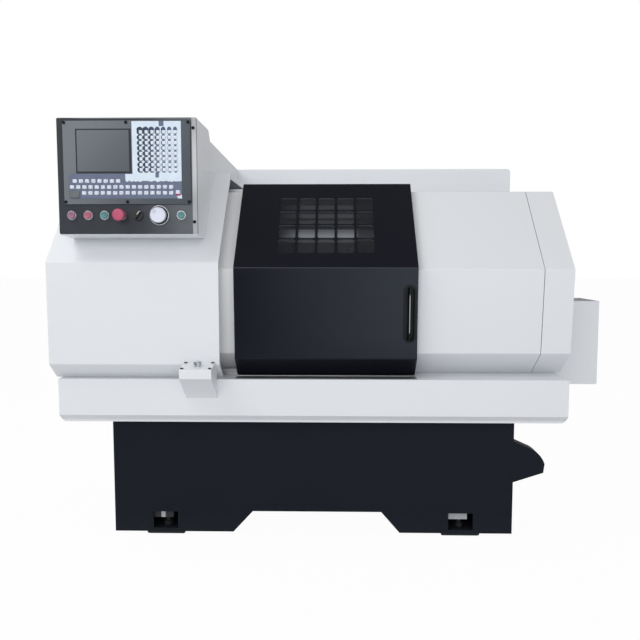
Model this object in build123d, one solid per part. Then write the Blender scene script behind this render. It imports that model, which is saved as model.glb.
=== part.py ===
from build123d import *
import os
from math import hypot

os.makedirs("parts", exist_ok=True)

# Enclosed computer-controlled lathe. Millimetres, +Z up, the operator stands on the -Y side.
# The origin is on the floor, below the middle of the whole machine.

# Clearances and sheet
fit = 0.05
seat = 0.3
sheet = 3.0
bend = 4.0

# Pedestal base
foot_lift = 12.0
base_left = -796.0
base_right = 624.0
base_front = -359.0
base_back = 341.0
base_top = 433.0
base_wall = 12.0
arch_height = 76.0
arch_left_foot = -370.0
arch_left_top = -300.0
arch_right_top = 159.0
arch_right_foot = 225.0
nose_reach = 110.0
nose_depth = 62.0
nose_tip_z = 267.0
nose_heel_z = 235.0
nose_root_top = 348.0
nose_root_bottom = 200.0
pocket_inset = 138.0
pocket_width = 88.0
pocket_height = 61.0
pad_width = 136.0
pad_depth = 80.0
bolt_radius = 10.0
bolt_height = 68.0
bolt_foot = 5.0
wedge_left = 46.0
wedge_right = 25.0
wedge_height = 26.0
tank_left = -240.0
tank_right = 400.0
tank_height = 215.0
tank_depth = 480.0

# Drip tray
tray_left = -943.0
tray_right = 775.0
tray_front = -470.0
tray_top = 585.0
tray_fold = 461.0
tray_lip = 7.0
tray_set_back = 25.0
tray_corner = 14.0
tray_rim = 18.0
deck_depth = 172.0
drain_radius = 30.0
drain_x = 300.0
drain_y = -200.0

# Enclosure profile, seen from the end: foot, chin, front, slope and roof
frame_foot_y = -312.0
frame_chin_y = -422.0
frame_chin_z = 668.0
frame_knee_y = -447.0
frame_knee_z = 953.5
frame_brow_y = -173.0
frame_roof_z = 1234.0
door_foot_y = -398.0
door_foot_z = 590.0
door_chin_y = -458.0
door_chin_z = 653.0
door_knee_y = -473.0
door_knee_z = 961.5
door_brow_y = -179.0
door_roof_z = 1262.7
cover_foot_y = -430.5
cover_chin_y = -495.0
cover_chin_z = 638.0
cover_knee_y = -497.0
cover_knee_z = 977.0
cover_brow_y = -190.0
cover_roof_z = 1301.0
cover_left = -962.0
cover_right = -391.0
cover_return = 12.0
roof_flange = 22.0
opening_left = -318.0
opening_right = 240.0
seam_x = 691.0
seam_gap = 2.0
strip_behind = 40.0
end_x = 791.0
lip_depth = 12.0

# Sliding door
door_left = -345.0
door_right = 268.5
door_return = 14.0
door_travel = 560.0
window_columns = 5
window_rows = 4
window_cell_x = 59.0
window_cell_s = 64.0
window_pitch_x = 67.6
window_pitch_s = 70.5
window_corner = 9.0
window_margin = 66.0
pane_thickness = 4.0
handle_x = 242.0
handle_z = 806.0
handle_width = 36.0
handle_height = 188.0
handle_depth = 22.0
sill_thickness = 2.0
rib_y = -370.0
rib_height = 18.0
glide_length = 50.0

# Rear cabinet
cabinet_left = -955.0
cabinet_right = 781.0
cabinet_front = 432.0
cabinet_back = 568.0
cabinet_bottom = 461.0
cabinet_drop = 47.0
hatch_left = -500.0
hatch_right = 400.0
hatch_bottom = 650.0
hatch_top = 1320.0
hatch_thickness = 12.0
gland_x = 661.0
gland_length = 26.0
gland_bore = 9.0

# Control housing and hood
panel_left = -895.0
panel_width = 448.0
panel_bottom = 1069.0
panel_height = 367.0
panel_front = -538.0
housing_inset = 2.0
hood_seam_rise = 202.0
hood_step_y = -314.0
hood_step_back = -281.0
hood_step_drop = 35.0
hood_back_drop = 49.0

# Controller face; places on it are shares of its width and height
bezel_side = 19.25
bezel_drop = 9.0
bezel_gap = 2.5
bezel_proud = 4.0
controller_depth = 62.0
screen_left = 0.102
screen_right = 0.537
screen_bottom = 0.371
screen_top = 0.9015
keypad_left = 0.0435
keypad_split = 0.544
keypad_right = 0.927
keypad_bottom = 0.070
keypad_step = 0.364
keypad_top = 0.9885
keypad_proud = 1.0
key_proud = 1.2

# Row of controls; places along it are shares of the panel's width
control_rise = 59.5
off_place = 0.0937
stop_place = 0.2132
start_place = 0.3304
emergency_place = 0.4542
mode_place = 0.5737
mode_angle = 38.0
dial_place = 0.7254
light_place = 0.8828
tube_radius = 11.0
stem_radius = 8.0
ring_radius = 15.3
ring_height = 6.0
cap_radius = 11.5
push_travel = 3.0
mushroom_radius = 19.0
mushroom_front = -585.0
knob_radius = 16.0
dial_radius = 24.6
dial_ring_radius = 32.0

# Operator's button box below the headstock cover
pod_left = -508.0
pod_right = -404.0
pod_front = -580.0
pod_top_front = 634.7
pod_top_back = 646.5
pod_chin_z = 604.5
pod_bottom = 521.0
pod_button_y = -540.0
pod_button_radius = 13.0

# Bed, spindle and slides
axis_y = 20.0
axis_z = 990.0
bed_left = -795.0
bed_right = 690.0
bed_width = 250.0
bed_top = 810.0
beam_height = 190.0
way_width = 62.0
vee_height = 12.0
window_pitch = 178.0
rib = 34.0
head_left = -780.0
head_right = -405.0
head_width = 300.0
head_top = 1122.0
spindle_radius = 45.0
spindle_bore = 20.0
nose_flange_radius = 66.0
nose_flange = 16.7
chuck_radius = 100.0
chuck_length = 86.0
jaw_width = 26.0
jaw_travel = 4.0
jaw_root = 34.0
pulley_left = -852.0
belt_width = 34.0
spindle_pulley_radius = 80.0
motor_pulley_radius = 50.0
belt_thickness = 9.0
motor_y = 290.0
motor_z = 552.0
motor_radius = 98.0
motor_length = 330.0
saddle_x = 60.0
saddle_length = 180.0
saddle_top = 850.0
guide_height = 22.0
slide_thickness = 20.0
turret_y = -110.0
turret_half = 50.0
tool_side = 20.0
tool_reach = 85.0
z_screw_y = -150.0
z_screw_z = 690.0
z_screw_radius = 16.0
x_screw_radius = 10.0
tail_left = 520.0
tail_length = 130.0
quill_radius = 28.0
quill_out = 60.0
wheel_radius = 62.0

# Guard over the feed motor at the right end
guard_right = 962.0
guard_front = -207.0
guard_back = 1.0
guard_bottom = 526.0
guard_top = 834.0


def block(x0, x1, y0, y1, z0, z1):
    """A box between two corners."""
    return Pos((x0 + x1) / 2, (y0 + y1) / 2, (z0 + z1) / 2) * Box(x1 - x0, y1 - y0, z1 - z0)


def rod_x(x0, x1, y, z, radius):
    """A cylinder along X."""
    return Pos((x0 + x1) / 2, y, z) * Rot(0, 90, 0) * Cylinder(radius, x1 - x0)


def rod_y(x, y0, y1, z, radius):
    """A cylinder along Y."""
    return Pos(x, (y0 + y1) / 2, z) * Rot(90, 0, 0) * Cylinder(radius, y1 - y0)


def rod_z(x, y, z0, z1, radius):
    """A cylinder along Z."""
    return Pos(x, y, (z0 + z1) / 2) * Cylinder(radius, z1 - z0)


def plate_x(points, x0, x1):
    """A flat plate of the given (y, z) outline between two X stations."""
    face = make_face(Polyline(*points, close=True))
    return Pos(x0, 0, 0) * extrude(Plane.YZ * face, amount=x1 - x0)


def plate_y(points, y0, y1):
    """A flat plate of the given (x, z) outline between two Y stations."""
    face = make_face(Polyline(*points, close=True))
    return Pos(0, y1, 0) * extrude(Plane.XZ * face, amount=y1 - y0)


def inset_path(points, distance):
    """The path moved sideways by a distance, to the right of its direction, with mitred corners."""
    moved = []
    count = len(points)
    for i in range(count):
        steps = []
        if i > 0:
            steps.append((points[i][0] - points[i - 1][0], points[i][1] - points[i - 1][1]))
        if i < count - 1:
            steps.append((points[i + 1][0] - points[i][0], points[i + 1][1] - points[i][1]))
        normals = [(dz / hypot(dy, dz), -dy / hypot(dy, dz)) for dy, dz in steps]
        across = (sum(n[0] for n in normals), sum(n[1] for n in normals))
        scale = distance / (across[0] * normals[0][0] + across[1] * normals[0][1])
        moved.append((points[i][0] + across[0] * scale, points[i][1] + across[1] * scale))
    return moved


def bent_sheet(points, thickness, x0, x1, radius=bend):
    """A folded sheet of the given outer (y, z) path, from the foot up over the roof."""
    inner_points = inset_path(points, thickness)
    outer = FilletPolyline(*points, radius=radius + thickness)
    inner = FilletPolyline(*inner_points, radius=radius)
    ends = [Line(points[0], inner_points[0]), Line(points[-1], inner_points[-1])]
    face = make_face(outer.edges() + inner.edges() + ends[0].edges() + ends[1].edges())
    return Pos(x0, 0, 0) * extrude(Plane.YZ * face, amount=x1 - x0)


def slope_plane(knee, brow, x):
    """A working plane on a slope: X along the machine, local Y up the slope, Z outwards."""
    direction = Vector(0, brow[0] - knee[0], brow[1] - knee[1])
    normal = Vector(1, 0, 0).cross(direction)
    return Plane(origin=(x, knee[0], knee[1]), x_dir=(1, 0, 0), z_dir=normal)


def one(solid):
    """The single body of a result."""
    return solid.solid() if len(solid.solids()) == 1 else solid


panel_right = panel_left + panel_width
panel_top = panel_bottom + panel_height
housing_left = panel_left + housing_inset
housing_right = panel_right - housing_inset
box_bottom_front = panel_bottom - housing_inset
hood_seam_z = panel_bottom + hood_seam_rise
hood_step_z = panel_top - hood_step_drop
cabinet_top = panel_top - cabinet_drop
control_z = panel_bottom + control_rise
off_x = panel_left + off_place * panel_width
stop_x = panel_left + stop_place * panel_width
start_x = panel_left + start_place * panel_width
emergency_x = panel_left + emergency_place * panel_width
mode_x = panel_left + mode_place * panel_width
dial_x = panel_left + dial_place * panel_width
light_x = panel_left + light_place * panel_width
bezel_left = panel_left + bezel_side
bezel_right = panel_right - bezel_side
bezel_bottom = control_z + dial_ring_radius + bezel_gap
bezel_top = panel_top - bezel_drop
wall_y = cabinet_front - seat
deck_z = tray_top + seat
frame_path = [
    (frame_foot_y, deck_z),
    (frame_chin_y, frame_chin_z),
    (frame_knee_y, frame_knee_z),
    (frame_brow_y, frame_roof_z),
    (wall_y, frame_roof_z),
]
door_path = [
    (door_foot_y + 18.0, door_foot_z),
    (door_foot_y, door_foot_z),
    (door_chin_y, door_chin_z),
    (door_knee_y, door_knee_z),
    (door_brow_y, door_roof_z),
    (door_brow_y + 62.0, door_roof_z),
]
cover_path = [
    (cover_foot_y, deck_z),
    (cover_chin_y, cover_chin_z),
    (cover_knee_y, cover_knee_z),
    (cover_brow_y, cover_roof_z),
    (wall_y, cover_roof_z),
]


# Pedestal base

def base_outline():
    """The base seen from the front: two feet with an arch between them."""
    arch_top = foot_lift + arch_height
    return make_face(Polyline(
        (base_right, foot_lift),
        (arch_right_foot, foot_lift),
        (arch_right_top, arch_top),
        (arch_left_top, arch_top),
        (arch_left_foot, foot_lift),
        (base_left, foot_lift),
        (base_left, base_top),
        (base_right, base_top),
        close=True,
    ))


def base_nose():
    """The shallow nose that stands out of the base's right side, with a rounded crown."""
    tip_x = base_right + nose_reach
    drop = nose_root_top - nose_tip_z
    shoulder = (base_right + 0.51 * nose_reach, nose_root_top - 0.31 * drop)
    crown = (base_right + 0.84 * nose_reach, nose_root_top - 0.62 * drop)
    tip = (tip_x, nose_tip_z)
    heel = (tip_x - 4.0, nose_heel_z)
    inside = base_right - base_wall / 2
    top = Polyline((inside, nose_root_bottom), (inside, nose_root_top),
                   (base_right, nose_root_top), shoulder)
    arc = ThreePointArc(shoulder, crown, tip)
    under = Polyline(tip, heel, (base_right, nose_root_bottom), (inside, nose_root_bottom))
    face = make_face(top.edges() + arc.edges() + under.edges())
    return Pos(0, base_front + nose_depth, 0) * extrude(Plane.XZ * face, amount=nose_depth)


def pocket_centres():
    """Middle of each levelling pocket along X."""
    inset = pocket_inset + pocket_width / 2
    return [base_left + inset, base_right - inset]


def foot_rows():
    """Y of the front and rear levelling bolts."""
    return [base_front + 45.0, base_back - 45.0]


def build_base():
    """The hollow pedestal with its pockets, the window for the coolant tank and the drain hole."""
    outline = base_outline()
    depth = base_back - base_front
    body = Pos(0, base_back, 0) * extrude(Plane.XZ * outline, amount=depth)
    inner = offset(outline, amount=-base_wall)
    body -= Pos(0, base_back - base_wall, 0) * extrude(Plane.XZ * inner, amount=depth - 2 * base_wall)
    body += base_nose()
    low = foot_lift + base_wall
    for x in pocket_centres():
        for face_y in (base_front, base_back - base_wall):
            body -= block(x - pocket_width / 2, x + pocket_width / 2, face_y - 1, face_y + base_wall + 1,
                          low, low + pocket_height)
        for y in foot_rows():
            body -= rod_z(x, y, 0, low + 1, bolt_radius + 1)
    shelf = foot_lift + arch_height + base_wall
    body -= block(tank_left - 8, tank_right + 8, base_back - base_wall - 1, base_back + 1,
                  shelf + 0.01, shelf + tank_height + 30)
    body -= rod_z(drain_x, drain_y, base_top - base_wall - 1, base_top + 1, drain_radius)
    return body


def pocket_top():
    return foot_lift + base_wall + pocket_height


def build_leveling_feet():
    """Four plates, each with a bolt, its locknut and the wedge that the bolt turns in."""
    pieces = []
    half = pad_width / 2
    for x in pocket_centres():
        for y in foot_rows():
            pad = block(x - half, x + half, y - pad_depth / 2, y + pad_depth / 2, 0, foot_lift - seat)
            pad = chamfer(pad.faces().sort_by(Axis.Z)[0].edges(), 5)
            pad -= rod_z(x, y, bolt_foot - seat, foot_lift, bolt_radius + seat)
            bolt = rod_z(x, y, bolt_foot, bolt_height, bolt_radius)
            nut = Pos(x, y, foot_lift + base_wall + seat) * extrude(RegularPolygon(17, 6), amount=14)
            wedge = block(x - wedge_left, x + wedge_right, y - 31, y + 31,
                          pocket_top() - wedge_height, pocket_top())
            pieces.append(pad)
            pieces.append(bolt + nut + wedge)
    return Compound(pieces)


def build_coolant_tank():
    """An open tank on the base's shelf, with a rim, a pull handle and a plate for the pump."""
    low = foot_lift + arch_height + base_wall + seat
    top = low + tank_height
    back = base_back + 2.0
    front = back - tank_depth
    tank = block(tank_left, tank_right, front, back, low, top)
    tank -= block(tank_left + sheet, tank_right - sheet, front + sheet, back - sheet, low + sheet, top + 1)
    rim = block(tank_left, tank_right, front, back, top - sheet, top)
    rim -= block(tank_left + 20, tank_right - 20, front + 20, back - 20, top - sheet - 1, top + 1)
    grip = block(-60, 60, back - 1, back + 22, top - 60, top - 52)
    grip -= block(-52, 52, back, back + 14, top - 61, top - 51)
    pump_x = tank_right - 110
    pump_y = back - 95
    plate = block(pump_x - 70, pump_x + 70, front + 10, back - 10, top, top + 4)
    return tank + rim + grip + plate


# Drip tray

def tray_body(inset, corner):
    """The tray's outer form, made smaller all round by an inset, with rounded lower ends."""
    front = tray_front + inset
    back = wall_y - inset
    bottom = base_top + seat + inset
    lip_top = base_top + tray_lip
    points = [(front, tray_top), (front, tray_fold), (front + tray_set_back, lip_top),
              (front + tray_set_back, bottom), (back - tray_set_back, bottom),
              (back - tray_set_back, lip_top), (back, tray_fold), (back, tray_top)]
    body = plate_x(points, tray_left + inset, tray_right - inset)
    return fillet(body.edges().filter_by(Axis.Y).group_by(Axis.Z)[0], corner)


def build_tray():
    """A folded pan with a deck in front that the covers stand on, and a rim round the other sides."""
    body = tray_body(0, tray_corner) - tray_body(sheet, tray_corner - sheet)
    deck = block(tray_left, tray_right, tray_front, wall_y, tray_top - sheet, tray_top)
    deck -= block(tray_left + tray_rim, tray_right - tray_rim, tray_front + deck_depth, wall_y - tray_rim,
                  tray_top - sheet - 1, tray_top + 1)
    return body + deck - rod_z(drain_x, drain_y, base_top - 1, base_top + seat + sheet + 1, drain_radius - 2)


# Enclosure

def profile_plate(path, x0, x1, bottom):
    """A full plate under a folded profile, down to a level."""
    points = [p for p in path if p[1] > bottom + 1]
    return plate_x([(path[0][0], bottom)] + points + [(path[-1][0], bottom)], x0, x1)


def build_left_frame():
    """The strip beside the door opening, which runs on behind the headstock cover, and a bulkhead."""
    short_path = frame_path[:-1] + [(frame_brow_y + 30, frame_roof_z)]
    strip = bent_sheet(short_path, sheet, cover_right - strip_behind, opening_left)
    lip = bent_sheet(short_path, lip_depth, opening_left - sheet, opening_left, 1.0)
    bulkhead = profile_plate(frame_path, cover_right, cover_right + sheet, deck_z)
    half = bed_width / 2 + 4
    bulkhead -= block(cover_right - 1, cover_right + sheet + 1, axis_y - half, axis_y + half,
                      deck_z - 1, bed_top + vee_height + 4)
    bulkhead -= rod_x(cover_right - 1, cover_right + sheet + 1, axis_y, axis_z, chuck_radius + 6)
    return strip + lip + bulkhead


def build_right_cover():
    """The fixed cover at the right of the door opening, with a return at its left edge."""
    shell = bent_sheet(frame_path, sheet, opening_right, seam_x - seam_gap / 2)
    lip = bent_sheet(frame_path, lip_depth, opening_right, opening_right + sheet, 1.0)
    return shell + lip


def build_end_cover():
    """The end of the enclosure, with a window for the feed motor and a ledge on the tray's rim."""
    shell = bent_sheet(frame_path, sheet, seam_x + seam_gap / 2, end_x)
    side = profile_plate(frame_path, end_x - sheet, end_x, deck_z)
    side -= block(end_x - sheet - 1, end_x + 1, z_screw_y - 58, z_screw_y + 58,
                  z_screw_z - 58, z_screw_z + 58)
    ledge = block(tray_right - tray_rim + 2, end_x - sheet, frame_foot_y + 60, wall_y - 60,
                  deck_z, deck_z + sheet)
    return shell + side + ledge


def build_roof_panel():
    """The roof over the door opening, with a short fold down the slope."""
    knee = frame_path[2]
    brow = frame_path[3]
    share = 38.0 / hypot(brow[0] - knee[0], brow[1] - knee[1])
    start = (brow[0] + (knee[0] - brow[0]) * share, brow[1] + (knee[1] - brow[1]) * share)
    path = [start, brow, (wall_y, frame_roof_z)]
    panel = bent_sheet(path, sheet, opening_left + seat, opening_right - seat)
    rear = block(cover_right + sheet + seat, opening_left + seat + 1, frame_brow_y + 30 + seat, wall_y,
                 frame_roof_z - sheet, frame_roof_z)
    return panel + rear


def build_headstock_cover():
    """The outermost cover, closed at its left end, with a return and a flange at its right edge."""
    shell = bent_sheet(cover_path, sheet, cover_left, cover_right)
    edge = bent_sheet(cover_path[:-1] + [(cover_brow_y + 8, cover_roof_z)], cover_return,
                      cover_right - sheet, cover_right, 1.0)
    flange = block(cover_right - sheet, cover_right, cover_brow_y + 4, wall_y,
                   cover_roof_z - roof_flange, cover_roof_z)
    side = profile_plate(cover_path, cover_left, cover_left + sheet, deck_z)
    ledge = block(cover_left + sheet, tray_left + tray_rim - 2, cover_foot_y + 60, wall_y - 60,
                  deck_z, deck_z + sheet)
    return shell + edge + flange + side + ledge


# Sliding door

def door_slope():
    return slope_plane(door_path[3], door_path[4], (door_left + door_right) / 2)


def build_door_shell():
    """The folded door with returns at both edges, a grille of windows and a slot for the handle."""
    shell = bent_sheet(door_path, sheet, door_left, door_right)
    for x0 in (door_left, door_right - sheet):
        shell += bent_sheet(door_path, door_return, x0, x0 + sheet, 1.0)
    plane = door_slope()
    block_s = window_margin + ((window_rows - 1) * window_pitch_s + window_cell_s) / 2
    cell = extrude(RectangleRounded(window_cell_x, window_cell_s, window_corner), amount=20, both=True)
    for spot in GridLocations(window_pitch_x, window_pitch_s, window_columns, window_rows):
        shell -= plane * (Pos(0, block_s, 0) * spot * cell)
    pocket = SlotOverall(handle_height, handle_width, rotation=90)
    shell -= Pos(handle_x, door_knee_y + 40, handle_z) * extrude(Plane.XZ * pocket, amount=80)
    return shell


def build_door_window():
    plane = door_slope()
    block_s = window_margin + ((window_rows - 1) * window_pitch_s + window_cell_s) / 2
    width = (window_columns - 1) * window_pitch_x + window_cell_x + 24
    height = (window_rows - 1) * window_pitch_s + window_cell_s + 24
    return plane * (Pos(0, block_s, -sheet - pane_thickness / 2 - 0.1) * Box(width, height, pane_thickness))


def build_door_handle():
    """A moulded finger pocket in the door with an upright grip bar across it."""
    plane = slope_plane(door_path[2], door_path[3], handle_x)
    rise = door_knee_z - door_chin_z
    up = (handle_z - door_chin_z) * hypot(door_knee_y - door_chin_y, rise) / rise
    cup = extrude(SlotOverall(handle_height - 1, handle_width - 1, rotation=90), amount=handle_depth)
    rim = extrude(SlotOverall(handle_height + 8, handle_width + 8, rotation=90), amount=2)
    hollow = extrude(SlotOverall(handle_height - 6, handle_width - 6, rotation=90), amount=handle_depth)
    body = Pos(0, up, 1 - handle_depth) * cup + Pos(0, up, 0.2) * rim
    body -= Pos(0, up, 3 - handle_depth) * hollow
    bar = Pos(0, up, -3.5) * Rot(90, 0, 0) * Cylinder(4.5, handle_height - 5)
    return plane * (body + bar)


def build_door_rails():
    """A sill on the deck with a bead and an upright rib, and an upper bar with a rib on the roof."""
    top = deck_z + sill_thickness
    rail_left = door_left - door_travel - 8
    lower = block(door_left, door_right, tray_front + 3, rib_y - 13, deck_z, top)
    lower += block(rail_left, door_right, rib_y - 14, rib_y + 14, deck_z, top)
    lower += block(door_left, door_right, door_foot_y - 10, door_foot_y - 6, top - 0.5, top + 1.6)
    lower += block(rail_left, door_right, rib_y - 2, rib_y + 2, top - 0.5, top + rib_height)
    bar_z = frame_roof_z + seat
    upper = block(rail_left, door_right - 8, upper_rib_y() - 12, upper_rib_y() + 12, bar_z, bar_z + 4)
    upper += block(rail_left, door_right - 8, upper_rib_y() - 2, upper_rib_y() + 2, bar_z + 3, bar_z + 14)
    return Compound([lower, upper])


def upper_rib_y():
    return door_brow_y + 42


def build_door_glides():
    """Four nylon shoes on the door's folds, each with a slot over a rail's rib."""
    shoes = []
    rib_top = deck_z + sill_thickness + rib_height
    bar_z = frame_roof_z + seat
    slot = 2 + seat
    for x in (door_left + 60, door_right - 60):
        left = x - glide_length / 2
        right = x + glide_length / 2
        low = block(left, right, door_foot_y + 7, rib_y + 10, door_foot_z + sheet + seat, rib_top + 10)
        low -= block(left - 1, right + 1, rib_y - slot, rib_y + slot, door_foot_z, rib_top + seat)
        high = block(left, right, upper_rib_y() - 9, upper_rib_y() + 9,
                     bar_z + 5, door_roof_z - sheet - seat)
        high -= block(left - 1, right + 1, upper_rib_y() - slot, upper_rib_y() + slot,
                      bar_z, bar_z + 14 + seat)
        shoes += [low, high]
    return Compound(shoes)


# Control housing

def box_heel():
    """Where the underside of the control box meets the cover's slope."""
    share = (box_bottom_front - 10 - cover_knee_z) / (cover_roof_z - cover_knee_z)
    return (cover_knee_y + (cover_brow_y - cover_knee_y) * share - 1, box_bottom_front - 10)


def controller_space():
    """Room for the controller's case across the seam of the two housings."""
    return block(bezel_left + 10, bezel_right - 10, panel_front - 1, panel_front + controller_depth + 2,
                 bezel_bottom + 10, bezel_top - 10)


def build_control_box():
    """The housing below the seam, which narrows to where it meets the slope of the cover."""
    front = panel_front + sheet
    brow = (cover_brow_y - 1, cover_roof_z - seat)
    points = [(front, box_bottom_front), box_heel(), brow, (front, hood_seam_z)]
    body = plate_x(points, housing_left, housing_right)
    inner = inset_path([points[0], points[3], points[2], points[1], points[0]], sheet)[1:4]
    inside = [(front - 1, inner[0][1]), (inner[1][0] - 6, inner[1][1]), (inner[2][0], inner[2][1]),
              (front - 1, box_bottom_front + sheet)]
    body -= plate_x(inside, housing_left + sheet, housing_right - sheet)
    return body - controller_space()


def build_hood():
    """The hood above the seam, which runs back over the cover to the rear cabinet."""
    front = panel_front + sheet
    brow = (cover_brow_y - 1, cover_roof_z + seat)
    points = [(front, hood_seam_z + seat), brow, (wall_y, cover_roof_z + seat),
              (wall_y, panel_top - hood_back_drop), (hood_step_back, hood_step_z),
              (hood_step_y, panel_top - 1), (front, panel_top - 1)]
    body = plate_x(points, housing_left, housing_right)
    inside = [(front - 1, hood_seam_z + 2 * sheet), (brow[0], brow[1] + sheet),
              (wall_y + 1, brow[1] + sheet),
              (wall_y + 1, panel_top - hood_back_drop - sheet), (hood_step_back - 2, hood_step_z - sheet),
              (hood_step_y - 2, panel_top - 1 - sheet), (front - 1, panel_top - 1 - sheet)]
    return body - plate_x(inside, housing_left + sheet, housing_right - sheet) - controller_space()


def control_positions():
    return [off_x, stop_x, start_x, emergency_x, mode_x, dial_x, light_x]


def build_control_panel():
    plate = block(panel_left, panel_right, panel_front, panel_front + sheet, panel_bottom, panel_top)
    plate = fillet(plate.edges().filter_by(Axis.Y), 4)
    plate -= block(bezel_left + 10, bezel_right - 10, panel_front - 1, panel_front + sheet + 1,
                   bezel_bottom + 10, bezel_top - 10)
    for x in control_positions():
        plate -= rod_y(x, panel_front - 1, panel_front + sheet + 1, control_z, tube_radius + fit)
    return plate


def face_x(share):
    """A place across the controller's face."""
    return bezel_left + share * (bezel_right - bezel_left)


def face_z(share):
    """A height on the controller's face."""
    return bezel_bottom + share * (bezel_top - bezel_bottom)


def build_controller():
    """The moulded face with the display's recess, and the case behind it."""
    front = panel_front - bezel_proud
    bezel = block(bezel_left, bezel_right, front, panel_front, bezel_bottom, bezel_top)
    bezel = fillet(bezel.edges().filter_by(Axis.Y), 7)
    bezel = chamfer(bezel.faces().sort_by(Axis.Y)[0].edges(), 1.2)
    body = block(bezel_left + 12, bezel_right - 12, panel_front - 0.5, panel_front + controller_depth,
                 bezel_bottom + 12, bezel_top - 12)
    recess = block(face_x(screen_left), face_x(screen_right), front - 1, front + 2.5,
                   face_z(screen_bottom), face_z(screen_top))
    return bezel + body - recess


def build_screen():
    front = panel_front - bezel_proud
    return block(face_x(screen_left) + seat, face_x(screen_right) - seat, front + 1, front + 2.5,
                 face_z(screen_bottom) + seat, face_z(screen_top) - seat)


def build_keypad():
    """One membrane in the form of an L, wide below the display and tall beside it."""
    face = panel_front - bezel_proud
    low = face_z(keypad_bottom)
    right = face_x(keypad_right)
    lower = block(face_x(keypad_left), right, face - keypad_proud, face, low, face_z(keypad_step))
    return lower + block(face_x(keypad_split), right, face - keypad_proud, face, low, face_z(keypad_top))


def key_row(first, last, count, level, width, height):
    """Evenly spaced keys in a row; all values are shares of the face, apart from the count."""
    face = panel_front - bezel_proud - keypad_proud
    keys = []
    for k in range(count):
        place = first + (last - first) * k / (count - 1)
        keys.append(block(face_x(place - width / 2), face_x(place + width / 2), face - key_proud, face,
                          face_z(level - height / 2), face_z(level + height / 2)))
    return keys


def build_keys():
    """Six rows and two rows of seven keys beside the display, and three long rows below it."""
    keys = []
    for row in range(6):
        keys += key_row(0.611, 0.882, 7, 0.860 - 0.0637 * row, 0.032, 0.0436)
    for row in range(2):
        keys += key_row(0.611, 0.882, 7, 0.472 - 0.0595 * row, 0.032, 0.0436)
    keys += key_row(0.089, 0.430, 8, 0.280, 0.038, 0.049)
    keys += key_row(0.067, 0.844, 17, 0.208, 0.038, 0.049)
    keys += key_row(0.161, 0.843, 15, 0.1375, 0.038, 0.049)
    return Compound(keys)


def build_button_bezels():
    pieces = []
    back = panel_front + 34
    for x in control_positions():
        radius = dial_ring_radius if x == dial_x else ring_radius
        ring = rod_y(x, panel_front - ring_height, panel_front, control_z, radius)
        ring = chamfer(ring.edges().group_by(Axis.Y)[0], 1.5)
        ring += rod_y(x, panel_front, back, control_z, tube_radius)
        ring += rod_y(x, panel_front + sheet, panel_front + sheet + 5, control_z, ring_radius - 1)
        ring -= rod_y(x, panel_front - ring_height - 1, back + 1, control_z, stem_radius + fit)
        if x not in (emergency_x, mode_x, dial_x):
            ring -= rod_y(x, panel_front - ring_height - 1, panel_front - 1, control_z, cap_radius + seat)
        pieces.append(ring)
    return Compound(pieces)


def push_button(x):
    """A flat cap in its ring, on a stem through the tube."""
    cap = rod_y(x, panel_front - ring_height - 5, panel_front - 4.5, control_z, cap_radius)
    cap = chamfer(cap.edges().group_by(Axis.Y)[0], 1)
    return cap + rod_y(x, panel_front - 5, panel_front + 28, control_z, stem_radius)


def build_emergency_stop():
    neck_y = panel_front - ring_height - push_travel - 4
    outline = [(0, mushroom_front), (12, mushroom_front), (mushroom_radius - 2, mushroom_front + 5),
               (mushroom_radius, mushroom_front + 13), (mushroom_radius - 1, neck_y - 4),
               (13, neck_y), (0, neck_y)]
    head = make_face(Polyline(*outline, close=True))
    head = Pos(emergency_x, 0, control_z) * revolve(head, axis=Axis.Y)
    return head + rod_y(emergency_x, neck_y - 1, panel_front + 26, control_z, stem_radius)


def build_mode_switch():
    base_y = panel_front - ring_height - seat
    knob = rod_y(mode_x, base_y - 8, base_y, control_z, knob_radius)
    grip = block(-4.5, 4.5, base_y - 20, base_y - 7, -15, 15)
    grip = Pos(mode_x, 0, control_z) * Rot(0, mode_angle, 0) * chamfer(grip.edges().filter_by(Axis.Y), 2.5)
    return knob + grip + rod_y(mode_x, base_y - 1, panel_front + 28, control_z, stem_radius)


def build_handwheel():
    base_y = panel_front - ring_height - 1
    disc = rod_y(dial_x, base_y - 19, base_y, control_z, dial_radius)
    disc = chamfer(disc.edges().group_by(Axis.Y)[0], 2)
    disc -= Pos(dial_x - 11, base_y - 22, control_z + 11) * Sphere(7.5)
    return disc + rod_y(dial_x, base_y - 1, panel_front + 28, control_z, stem_radius)


def screw_y(x, y, z):
    """A button-head screw in an upright panel, with a hexagon socket."""
    head = rod_y(x, y - 3, y, z, 5)
    head = chamfer(head.edges().group_by(Axis.Y)[0], 1.2)
    return head - Pos(x, y - 1.5, z) * extrude(Plane.XZ * RegularPolygon(2.4, 6), amount=3)


def pod_top_z(y):
    """Height of the button box's top plate at a given Y."""
    back = cover_chin_y - 1
    return pod_top_back + (y - back) * (pod_top_back - pod_top_front) / (back - pod_front)


def build_panel_screws():
    screws = []
    face = panel_front - bezel_proud
    for x in (bezel_left + 6, (bezel_left + bezel_right) / 2, bezel_right - 7):
        for z in (bezel_bottom + 8, bezel_top - 6.5):
            screws.append(screw_y(x, face, z))
    for z in (panel_bottom + 38.7, panel_top - 32.8):
        screws.append(screw_y(panel_right - 11, panel_front, z))
    for x in (pod_left + 7, pod_right - 7):
        for y in (pod_front + 11, cover_chin_y - 10):
            head = rod_z(x, y, pod_top_z(y) + 0.75, pod_top_z(y) + 3.2, 5.5)
            screws.append(chamfer(head.edges().group_by(Axis.Z)[-1], 1))
    return Compound(screws)


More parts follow.
